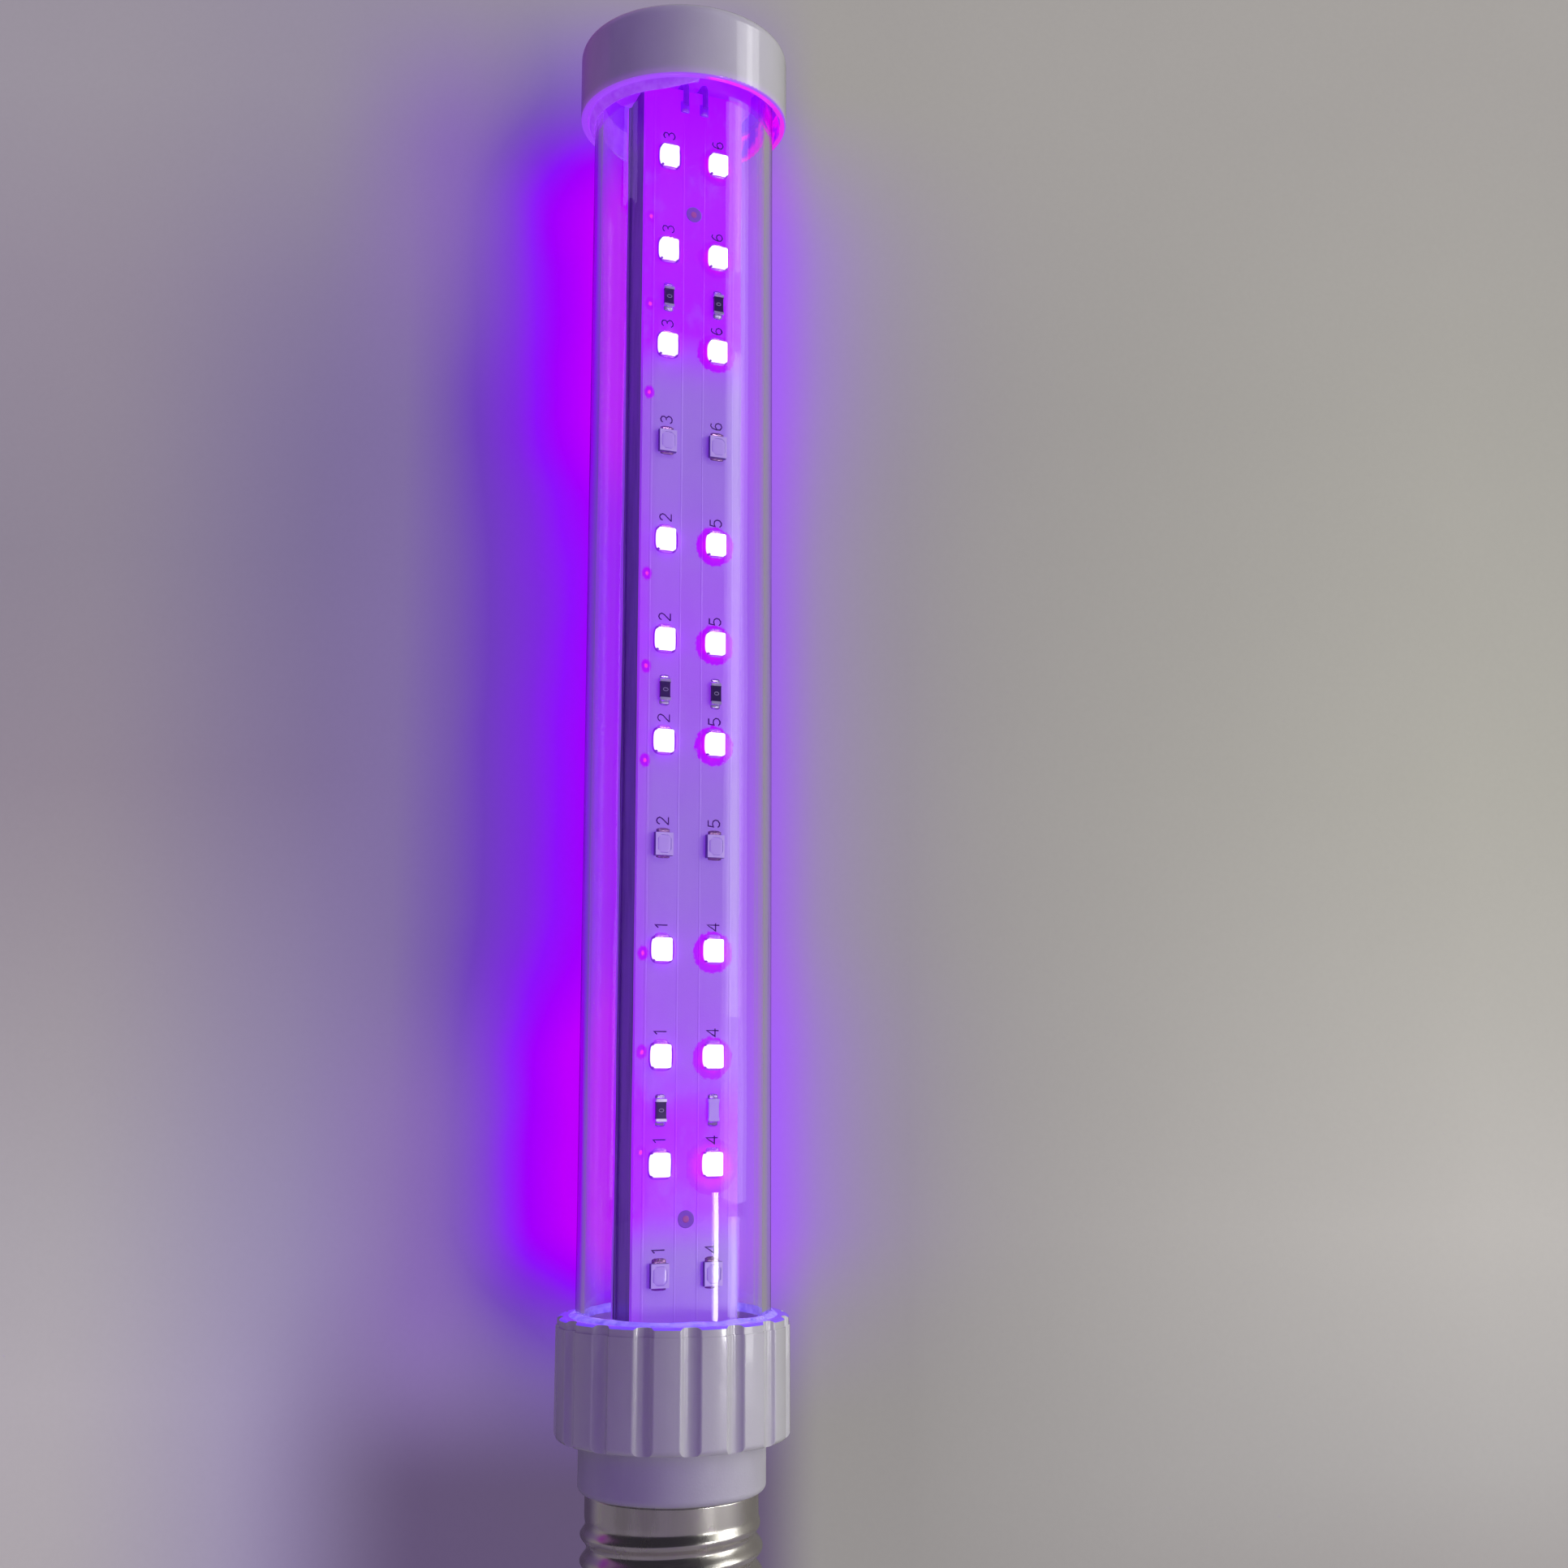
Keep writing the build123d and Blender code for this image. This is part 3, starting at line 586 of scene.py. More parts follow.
def chip_body():
    """Black chip resistor with tinned ends."""
    made, tree, surface = new_material("chip_resistor")
    up = place_in_mm(tree)[3]
    steps = calc("DIVIDE", minus(up, CHIP_HEIGHT), CHIP_STEP)
    off = times(minus(steps, calc("ROUND", steps)), CHIP_STEP)
    end = ramp(calc("ABSOLUTE", off), 1.18, 1.22)
    tin = use_group(
        tree,
        DRAWN_METAL,
        Colour=rgb(0.8, 0.76, 0.9),
        Dull_Colour=rgb(0.5, 0.46, 0.64),
        Line_Depth=0.2,
        Base_Roughness=0.28,
    )
    body = use_group(
        tree,
        MOULDED_SKIN,
        Colour=rgb(0.012, 0.006, 0.03),
        Shade=rgb(0.03, 0.02, 0.06),
        Mottle=0.6,
        Base_Roughness=0.32,
    )
    # Faint violet emission: the lamps' light painted on as glow
    values = {
        "Base Color": blend(end, body["Colour"], tin["Colour"]),
        "Metallic": end,
        "Roughness": scaled_by(tin["Height"], 0.1, 0.3),
        "Emission Color": blend(end, rgb(0.01, 0, 0.045), rgb(0.02, 0, 0.08)),
        "Normal": bump(body["Height"], 0.2, 0.0001),
    }
    principled(tree, surface, values)
    return made


def fuse_lacquer():
    """Green-grey lacquered barrel with colour rings."""
    made, tree, shader = moulded(
        "resistor_lacquer", (0.2, 0.34, 0.28), (0.12, 0.2, 0.17), 0.5, 0.3, 0.2
    )
    up = place_in_mm(tree)[3]
    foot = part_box("fusible_resistor")[0].z / MM
    skin = shader.inputs["Base Color"].links[0].from_socket
    for start, tint in ((2.2, (0.05, 0.02, 0.01)), (3.5, (0.01, 0.01, 0.01)), (4.8, (0.5, 0.3, 0.05))):
        ring = calc("COMPARE", up, foot + start, 0.35)
        skin = blend(ring, skin, rgb(*tint))
    feed(shader, {"Base Color": skin})
    return made


FINISHES = {
    "white_gloss_plastic": glossy_white(),
    "clear_plastic": clear_tube_plastic(),
    "clear_glue": glue_clear(),
    "white_lamp_board": lamp_board_white(),
    "led_package": lamp_plastic(
        "led_package", rgb(0.72, 0.66, 0.8), rgb(0.6, 0.52, 0.72), 0.35, rgb(0.11, 0.03, 0.34), 6
    ),
    "lamp_window": lamp_plastic(
        "lamp_window", rgb(0.62, 0.55, 0.74), rgb(0.54, 0.45, 0.68), 0.12, rgb(0.14, 0.05, 0.38), 60
    ),
    "chip_resistor": chip_body(),
    "resistor_lacquer": fuse_lacquer(),
    "lamp_solder": lamp_solder(),
}
# Colour, shade, mottle, roughness, then coat, depth of the bump and glow where they matter; the glow is
# the lamps' violet light painted on, and the violet or dark tints of the holder, white wire, bare copper,
# laminate and ceramic carry painted lamp light and shade too
PLASTICS = {
    "white_neck_plastic": ((0.68, 0.66, 0.72), (0.57, 0.54, 0.61), 0.4, 0.34, 0.15, 0.3),
    "holder_plastic": ((0.3, 0.16, 0.48), (0.24, 0.1, 0.42), 0.4, 0.35, 0, 0.2, (0.26, 0, 0.8)),
    "thermal_tape": ((0.4, 0.3, 0.58), (0.3, 0.2, 0.46), 0.5, 0.6),
    "white_wire": ((0.08, 0.03, 0.18), (0.05, 0.02, 0.12), 0.4, 0.45, 0, 0.15, (0.14, 0, 0.6)),
    "driver_laminate": ((0.05, 0.19, 0.08), (0.03, 0.11, 0.05), 0.6, 0.4),
    "capacitor_sleeve": ((0.02, 0.02, 0.03), (0.05, 0.05, 0.06), 0.5, 0.28),
    "black_moulding": ((0.018, 0.017, 0.018), (0.05, 0.048, 0.05), 0.6, 0.4),
    "red_wire": ((0.5, 0.02, 0.02), (0.3, 0.01, 0.01), 0.4, 0.35),
    "black_wire": ((0.02, 0.02, 0.02), (0.05, 0.05, 0.05), 0.4, 0.35),
    "bare_copper": ((0.34, 0.1, 0.2), (0.26, 0.07, 0.18), 0.5, 0.4, 0, 0.15, (0.16, 0.015, 0.22)),
    "bare_laminate": ((0.2, 0.12, 0.34), (0.16, 0.08, 0.3), 0.5, 0.5, 0, 0.15, (0.09, 0, 0.34)),
    "dark_print": ((0.03, 0.005, 0.08), (0.06, 0.01, 0.12), 0.5, 0.9, 0, 0.1, (0.03, 0, 0.12)),
    "pale_print": ((0.6, 0.52, 0.74), (0.45, 0.36, 0.6), 0.5, 0.5),
    "ceramic": ((0.7, 0.62, 0.8), (0.6, 0.5, 0.72), 0.5, 0.4, 0, 0.15, (0.12, 0.02, 0.42)),
}
# Colour, dull colour, roughness, share of the lines, depth of the bump and glow where it matters; the
# glow is the lamps' violet light painted on, and the violet tints of aluminium and solder carry painted
# lamp light too
METALS = {
    "aluminium": ((0.27, 0.23, 0.36), (0.14, 0.11, 0.21), 0.34, 0.5, 0.3, (0.022, 0, 0.1)),
    "copper_winding": ((0.72, 0.3, 0.12), (0.42, 0.14, 0.05), 0.26, 0.3, 0.2),
    "nickel_shell": ((0.74, 0.71, 0.66), (0.5, 0.47, 0.42), 0.2, 0.25, 0.1),
    "contact_metal": ((0.7, 0.66, 0.6), (0.45, 0.42, 0.38), 0.3, 0.2, 0.2),
    "solder": ((0.66, 0.6, 0.8), (0.4, 0.34, 0.56), 0.16, 0.3, 0.4, (0.012, 0, 0.05)),
    "wire_solder": ((0.22, 0.12, 0.4), (0.14, 0.07, 0.3), 0.35, 0.2, 0.3, (0.17, 0, 0.64)),
}
for kind, table in ((moulded, PLASTICS), (metal, METALS)):
    for name, values in table.items():
        FINISHES[name] = kind(name, *values)[0]


def finish_node(name, finish):
    """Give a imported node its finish."""
    node = frame["nodes"][name]
    node.data.materials.clear()
    node.data.materials.append(FINISHES[finish])


for row in frame["record"]["subparts"]:
    finish_node(row["node"], row["material_slot"])
# The inductor's drum is dark below its winding, and the photo shows one chip without its black cover
finish_node("power_inductor", "black_moulding")
finish_node("front_resistor_4", "ceramic")


# Mesh helpers
def make_piece(name, points, faces, finish, smooth=True, stands_for=()):
    """Mesh piece that rides on the lamp's body."""
    mesh = bpy.data.meshes.new(name)
    mesh.from_pydata(points, [], faces)
    mesh.update()
    made = bpy.data.objects.new(name, mesh)
    bpy.context.scene.collection.objects.link(made)
    mesh.materials.append(FINISHES[finish])
    if smooth:
        mesh.shade_smooth()
    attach(made, "root")
    if stands_for:
        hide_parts(*stands_for)
    return made


def on_board(side, across, up, out):
    """Point on a lamp board, in metres, from millimetres across, up and out of its face."""
    sign = 1 if side == "front" else -1
    return (sign * across * MM, -sign * (BOARD_FACE + out) * MM, up * MM)


def on_round(radius, angle, height):
    """Point round the lamp's axis, in metres, from millimetres."""
    return (radius * math.cos(angle) * MM, radius * math.sin(angle) * MM, height * MM)


def rounded_rectangle(width, length, radius, steps=3):
    """Outline of a rounded rectangle round its centre."""
    outline = []
    for corner, (sx, sy) in enumerate(((1, 1), (-1, 1), (-1, -1), (1, -1))):
        cx = sx * (width / 2 - radius)
        cy = sy * (length / 2 - radius)
        for step in range(steps + 1):
            angle = math.radians(90 * corner + 90 * step / steps)
            outline.append((cx + radius * math.cos(angle), cy + radius * math.sin(angle)))
    return outline


def round_outline(radius, count=20):
    """Outline of a circle round its centre."""
    turns = [2 * math.pi * k / count for k in range(count)]
    return [(radius * math.cos(turn), radius * math.sin(turn)) for turn in turns]


def joined_rings(rings, start, closed=False):
    """Points and faces of rings of points joined in turn, with ends or closed round."""
    count = len(rings[0])
    points = [point for ring in rings for point in ring]
    faces = []
    spans = len(rings) if closed else len(rings) - 1
    for k in range(spans):
        low = start + k * count
        high = start + (k + 1) % len(rings) * count
        for j in range(count):
            n = (j + 1) % count
            faces.append((low + j, low + n, high + n, high + j))
    if not closed:
        faces.append(tuple(start + j for j in reversed(range(count))))
        faces.append(tuple(start + (len(rings) - 1) * count + j for j in range(count)))
    return points, faces


def pad(side, across, up, outline, levels):
    """Low pad: rings of the outline at (scale, lift) levels, from the foot to the crown."""
    def build(start):
        rings = [
            [on_board(side, across + u * scale, up + v * scale, lift) for u, v in outline]
            for scale, lift in levels
        ]
        return joined_rings(rings, start)

    return build


def gather(name, parts, finish, smooth=True):
    """One piece from several builders of points and faces."""
    points, faces = [], []
    for build in parts:
        new_points, new_faces = build(len(points))
        points += new_points
        faces += new_faces
    return make_piece(name, points, faces, finish, smooth)


LAMP_PLACES = [
    (column, FIRST_LAMP + LAMP_PITCH * number, number)
    for column in (-LAMP_COLUMN, LAMP_COLUMN)
    for number in range(LAMPS_IN_COLUMN)
]
CHIP_PLACES = [
    (column, CHIP_HEIGHT + CHIP_STEP * number, number)
    for column in (-LAMP_COLUMN, LAMP_COLUMN)
    for number in range(3)
]


# Details of the lamp boards
def lamp_windows(side):
    """Domed fillings of the lamps' windows."""
    outline = rounded_rectangle(2.08, 2.68, 0.62, 4)
    rise = LAMP_RISE
    levels = ((0.99, rise - 0.22), (1, rise - 0.06), (0.86, rise - 0.02), (0.55, rise - 0.005))
    parts = [pad(side, column, up, outline, levels) for column, up, _ in LAMP_PLACES]
    gather(f"{side}_lamp_windows", parts, "lamp_window")


def solder_wedge(side, across, up, width, reach, rise, toward):
    """Solder fillet from an end face down to its pad, hollow in profile, pinched at its sides."""
    profile = ((0, 0), (1, 0), (0.62, 0.12), (0.33, 0.34), (0.12, 0.68), (0, 1))
    slices = 5

    def build(start):
        rings = []
        for k in range(slices + 1):
            share = k / slices * 2 - 1
            pinch = 1 - 0.28 * share**4
            x = across + share * width / 2
            ring = [
                on_board(side, x, up + toward * run * reach * pinch, lift * rise * pinch)
                for run, lift in profile
            ]
            rings.append(ring if toward > 0 else ring[::-1])
        return joined_rings(rings, start)

    return build


def solder_joints(side):
    """Fillets at both ends of each lamp and chip resistor."""
    lamp_parts, chip_parts = [], []
    for toward in (-1, 1):
        reach = 0.72 if toward > 0 else 0.36
        for column, up, _ in LAMP_PLACES:
            foot = up + toward * (LAMP_LENGTH / 2 - 0.03)
            lamp_parts.append(solder_wedge(side, column, foot, 2.1, reach, 0.3, toward))
        for column, up, _ in CHIP_PLACES:
            foot = up + toward * 1.58
            chip_parts.append(solder_wedge(side, column, foot, 1.55, 0.78, 0.48, toward))
    gather(f"{side}_lamp_joints", lamp_parts, "lamp_solder")
    gather(f"{side}_chip_joints", chip_parts, "solder")


# Strokes of the printed digits, in a box 1 wide and 1.6 high
DIGITS = {
    "0": [[(0.5 + 0.45 * math.cos(t * 0.3927), 0.8 + 0.75 * math.sin(t * 0.3927)) for t in range(17)]],
    "1": [[(0.2, 1.25), (0.55, 1.6), (0.55, 0)]],
    "2": [
        [(0.05, 1.2), (0.2, 1.48), (0.5, 1.6), (0.8, 1.48), (0.95, 1.2), (0.82, 0.88), (0, 0)],
        [(0, 0), (1, 0)],
    ],
    "3": [
        [(0.05, 1.35), (0.25, 1.55), (0.55, 1.6), (0.85, 1.45), (0.9, 1.15), (0.7, 0.9), (0.4, 0.85)],
        [(0.7, 0.86), (0.97, 0.5), (0.88, 0.18), (0.55, 0), (0.2, 0.05), (0, 0.3)],
    ],
    "4": [[(0.75, 0), (0.75, 1.6), (0, 0.5), (1, 0.5)]],
    "5": [
        [(0.9, 1.6), (0.15, 1.6), (0.05, 0.9), (0.4, 1.02), (0.75, 0.95), (0.97, 0.62)],
        [(0.97, 0.62), (0.9, 0.22), (0.58, 0), (0.25, 0.03), (0, 0.25)],
    ],
    "6": [
        [(0.85, 1.5), (0.5, 1.6), (0.2, 1.35), (0.03, 0.8), (0.08, 0.25), (0.45, 0)],
        [(0.45, 0), (0.85, 0.15), (0.97, 0.5), (0.8, 0.85), (0.45, 0.97), (0.1, 0.7)],
    ],
}


def stroke(side, line, across, up, size, width, lift):
    """Printed stroke as a flat ribbon; the glyph's top points to the left and it reads upwards."""
    spots = [Vector((across - (y - 0.8) * size, up + (x - 0.5) * size)) for x, y in line]

    def build(start):
        rings = []
        for k, spot in enumerate(spots):
            before = spot - spots[k - 1] if k else spots[1] - spot
            after = spots[k + 1] - spot if k + 1 < len(spots) else before
            direction = (before.normalized() + after.normalized()).normalized()
            widen = 1 / max(0.45, abs(direction.dot(after.normalized())))
            reach = Vector((-direction.y, direction.x)) * (width / 2 * widen)
            left, right = spot + reach, spot - reach
            rings.append(
                [
                    on_board(side, left.x, left.y, lift),
                    on_board(side, right.x, right.y, lift),
                    on_board(side, right.x, right.y, lift - 0.03),
                    on_board(side, left.x, left.y, lift - 0.03),
                ]
            )
        return joined_rings(rings, start)

    return build


def printed_digits(side):
    """Group number above each lamp, and the value on each chip resistor."""
    parts, chip_parts = [], []
    for column, up, number in LAMP_PLACES:
        digit = str(1 + number // 4 + (3 if column > 0 else 0))
        for line in DIGITS[digit]:
            parts.append(stroke(side, line, column - 0.1, up + 3.5, 1.15, 0.19, 0.012))
    for column, up, number in CHIP_PLACES:
        bare = side == "front" and column > 0 and number == 0
        for line in [] if bare else DIGITS["0"]:
            chip_parts.append(stroke(side, line, column, up, 0.5, 0.08, 0.555))
    gather(f"{side}_board_print", parts, "dark_print", False)
    gather(f"{side}_chip_print", chip_parts, "pale_print", False)


def board_marks(side):
    """Round alignment marks, joints of the link wires, and the joints of the leads at the foot."""
    rings, dots, joints = [], [], []
    for up in (BOARD_FOOT + 25.1, BOARD_FOOT + 179.4):
        levels = ((1, -0.01), (1, 0.006), (0.9, 0.008))
        rings.append(pad(side, 0, up, round_outline(1.28), levels))
        levels = ((1, -0.01), (1, 0.014), (0.8, 0.018))
        dots.append(pad(side, 0, up, round_outline(0.5), levels))
    crown = ((1, -0.01), (1, 0.03), (0.82, 0.16), (0.5, 0.34), (0.3, 0.4))
    for across in (-1.6, 1.6):
        joints.append(pad(side, across, BOARD_TOP - 2.8, rounded_rectangle(1.5, 2, 0.3), crown))
    if side == "front":
        for across in (-3, 3):
            outline = rounded_rectangle(2, 2.6, 0.4)
            levels = ((1, -0.01), (1, 0.04), (0.8, 0.3), (0.45, 0.55))
            joints.append(pad(side, across, BOARD_FOOT + 6.4, outline, levels))
    gather(f"{side}_mark_rings", rings, "bare_laminate")
    gather(f"{side}_mark_dots", dots, "bare_copper")
    gather(f"{side}_wire_joints", joints, "wire_solder")


for side in ("front", "rear"):
    lamp_windows(side)
    solder_joints(side)
    printed_digits(side)
    board_marks(side)


# Glue beads
def wander(angle, size, seed):
    """Smooth random value round the tube, from -1 to 1."""
    return noise.noise(Vector((size * math.cos(angle), size * math.sin(angle), seed)))


def cap_section(angle, share):
    """Bead in the cap's mouth: it hangs below the rim and thins out at its ends."""
    fade = max(0.06, min(1, share / 0.12, (1 - share) / 0.12))
    fade = math.sin(fade * math.pi / 2)
    drop = (1.34 + 0.12 * wander(angle, 1.6, 1.7)) * fade
    outer = CAP_BORE - 0.05
    inner = TUBE_RADIUS + 0.01
    return [
        (inner, CAP_MOUTH + 3.6),
        (outer, CAP_MOUTH + 3.6),
        (outer, CAP_MOUTH + 0.05),
        (outer - 0.05, CAP_MOUTH - 0.18 * fade),
        (outer - 0.25, CAP_MOUTH - 0.5 * drop),
        (outer - 0.5, CAP_MOUTH - 0.82 * drop),
        (inner + 0.28, CAP_MOUTH - drop),
        (inner + 0.08, CAP_MOUTH - drop * 0.96),
        (inner, CAP_MOUTH - drop * 0.85),
    ]


def collar_section(angle, share):
    """Bead in the collar's mouth."""
    rise = 0.4 + 0.18 * wander(angle, 4, 8.3)
    inner = TUBE_RADIUS + 0.01
    outer = TUBE_RADIUS + 0.95
    return [
        (inner, COLLAR_TOP - 0.75),
        (inner + 0.19, COLLAR_TOP - 0.75),
        (outer, COLLAR_TOP - 0.02),
        (outer - 0.1, COLLAR_TOP + 0.1),
        (inner + 0.55, COLLAR_TOP + 0.62 * rise),
        (inner + 0.25, COLLAR_TOP + min(0.55, rise * 1.1)),
        (inner, COLLAR_TOP + min(0.59, rise * 1.3)),
    ]


def glue_bead(name, start_angle, arc, section, stands_for, steps):
    """Bead round the tube: a section of (radius, height) points that wanders as it goes."""
    closed = arc == 360
    rings = []
    for k in range(steps if closed else steps + 1):
        angle = math.radians(start_angle + arc * k / steps)
        ring = [on_round(radius, angle, height) for radius, height in section(angle, k / steps)]
        rings.append(ring[::-1])
    points, faces = joined_rings(rings, 0, closed)
    make_piece(name, points, faces, "clear_glue", stands_for=stands_for)


glue_bead("cap_glue_bead", 40, 219, cap_section, ("cap_seal",), 150)
glue_bead("collar_glue_bead", 0, 360, collar_section, ("collar_seal",), 180)


def glue_bubbles():
    """Small bubbles in a row on the collar's glue."""
    parts = []
    for degrees, size in ((-60.5, 0.34), (-57.8, 0.42), (-54.6, 0.5), (-51.2, 0.46), (-48.6, 0.36)):
        angle = math.radians(degrees)

        def build(start, angle=angle, size=size):
            rings = []
            for level in range(7):
                tilt = math.pi * (level + 0.35) / 6.7
                ring = []
                for k in range(14):
                    turn = 2 * math.pi * k / 14
                    reach = size * math.sin(tilt)
                    radius = TUBE_RADIUS + 0.52 + reach * math.cos(turn)
                    swing = angle + reach * 1.15 * math.sin(turn) / TUBE_RADIUS
                    height = COLLAR_TOP + 0.22 - size * 0.7 * math.cos(tilt)
                    ring.append(on_round(radius, swing, height))
                rings.append(ring)
            return joined_rings(rings, start)

        parts.append(build)
    gather("glue_bubbles", parts, "clear_glue")


glue_bubbles()


# Screw shell with a smooth knuckle thread, in place of the faceted solid
SHELL_FOOT = shell_low.z / MM
SHELL_TOP = shell_high.z / MM
SHELL_WALL = 0.4
SHELL_SKIRT = 12.5
SHELL_FOOT_RADIUS = 11.6
SHELL_CURL_BORE = 10.2
THREAD_MEAN = 12.6125
THREAD_THROW = 0.4875
THREAD_PITCH = 3.62
THREAD_FOOT = 7.4
THREAD_TOP = 22.2
THREAD_RUN = 2.2


def shell_radius(angle, height):
    """Outer radius of the shell: a wave that climbs round it and dies out at both ends."""
    run_in = min(1, (height - SHELL_FOOT - SHELL_WALL) / (THREAD_FOOT - SHELL_FOOT - SHELL_WALL))
    run_out = max(0, min(1, (THREAD_TOP - height) / THREAD_RUN))
    skirt = max(0, min(1, (height - THREAD_TOP) / THREAD_RUN + 1))
    mean = THREAD_MEAN + (SHELL_SKIRT - THREAD_MEAN) * skirt
    mean -= (THREAD_MEAN - SHELL_FOOT_RADIUS) * (1 - run_in)
    wave = math.cos(angle - 2 * math.pi * height / THREAD_PITCH)
    return mean + THREAD_THROW * min(run_in, run_out) * wave


def screw_shell_mesh():
    """Rolled shell: outer wall, curl at the foot and inner wall as one closed skin."""
    steps = 72
    turns = 96
    curl_top = SHELL_FOOT + SHELL_WALL
    heights = [SHELL_TOP + (curl_top + 0.3 - SHELL_TOP) * k / steps for k in range(steps + 1)]
    corner = SHELL_FOOT_RADIUS - 0.3
    rings = []
    for turn in range(turns):
        angle = 2 * math.pi * turn / turns
        ring = [(shell_radius(angle, height), height) for height in heights]
        ring += [(SHELL_FOOT_RADIUS - 0.02, curl_top), (SHELL_FOOT_RADIUS - 0.1, SHELL_FOOT + 0.14)]
        ring += [(corner, SHELL_FOOT), (SHELL_CURL_BORE, SHELL_FOOT), (SHELL_CURL_BORE, curl_top)]
        ring += [(corner - 0.2, curl_top)]
        ring += [(shell_radius(angle, height) - SHELL_WALL, height) for height in reversed(heights)]
        rings.append([on_round(radius, angle, height) for radius, height in ring])
    points, faces = joined_rings(rings, 0, True)
    name = "rolled_screw_shell"
    make_piece(name, points, faces, "nickel_shell", stands_for=("screw_shell",))


screw_shell_mesh()


# Winding on the inductor's drum, between its flanges
def inductor_winding():
    """Copper wire laid side by side round the drum, as one turned skin."""
    wire = 0.42
    flange = 1.4
    centre_x = (drum_low.x + drum_high.x) / 2 / MM
    centre_y = (drum_low.y + drum_high.y) / 2 / MM
    foot = drum_low.z / MM + flange
    rise = drum_high.z / MM - flange - foot
    turns = int(rise / wire)
    outer = 3.55
    profile = [(outer - 0.6, foot + 0.01)]
    for turn in range(turns):
        for bend in range(1, 5):
            angle = math.pi * bend / 5
            height = foot + (turn + 0.5 - math.cos(angle) / 2) * rise / turns
            profile.append((outer - wire / 2 + wire / 2 * math.sin(angle), height))
    profile.append((outer - 0.6, foot + rise - 0.01))
    rings = []
    for step in range(40):
        angle = 2 * math.pi * step / 40
        ring = []
        for radius, height in profile:
            x, y, z = on_round(radius, angle, height)
            ring.append((x + centre_x * MM, y + centre_y * MM, z))
        rings.append(ring[::-1])
    points, faces = joined_rings(rings, 0, True)
    make_piece("inductor_winding", points, faces, "copper_winding")


inductor_winding()


# Stage
def plane_piece(name, corners, finish):
    mesh = bpy.data.meshes.new(name)
    mesh.from_pydata(corners, [], [tuple(range(len(corners)))])
    made = bpy.data.objects.new(name, mesh)
    bpy.context.scene.collection.objects.link(made)
    mesh.materials.append(finish)
    return made


def colour_ramp(value, stops):
    """Colour that follows a value through the given stops."""
    made = put(value.id_data, "ValToRGB", {0: value})
    points = made.color_ramp.elements
    while len(points) < len(stops):
        points.new(0.5)
    for point, (place, tint) in zip(points, stops):
        point.position = place
        point.color = rgb(*tint)
    return made.outputs[0]


# Painted studio light and shade on the backdrop by height, right and left of the lamp
SHEET_RIGHT = (
    (0, (0.38, 0.355, 0.35)),
    (0.09, (0.45, 0.43, 0.42)),
    (0.24, (0.53, 0.505, 0.48)),
    (0.36, (0.49, 0.47, 0.435)),
    (0.53, (0.445, 0.43, 0.385)),
    (0.78, (0.41, 0.395, 0.36)),
    (1, (0.395, 0.375, 0.355)),
)
SHEET_LEFT = (
    (0, (0.42, 0.385, 0.41)),
    (0.14, (0.45, 0.41, 0.45)),
    (0.25, (0.41, 0.375, 0.415)),
    (0.37, (0.365, 0.325, 0.365)),
    (0.53, (0.295, 0.25, 0.308)),
    (0.68, (0.278, 0.24, 0.305)),
    (0.86, (0.305, 0.262, 0.33)),
    (1, (0.335, 0.3, 0.352)),
)
# Painted violet glow of the lamps on the backdrop, from faint to full
GLOW_STOPS = (
    (0, (0.22, 0.155, 0.385)),
    (0.22, (0.188, 0.102, 0.434)),
    (0.37, (0.165, 0.051, 0.53)),
    (0.56, (0.212, 0.025, 0.745)),
    (0.68, (0.275, 0.006, 0.98)),
    (0.8, (0.365, 0, 1)),
    (0.92, (0.456, 0, 1)),
    (1, (0.52, 0, 1)),
)


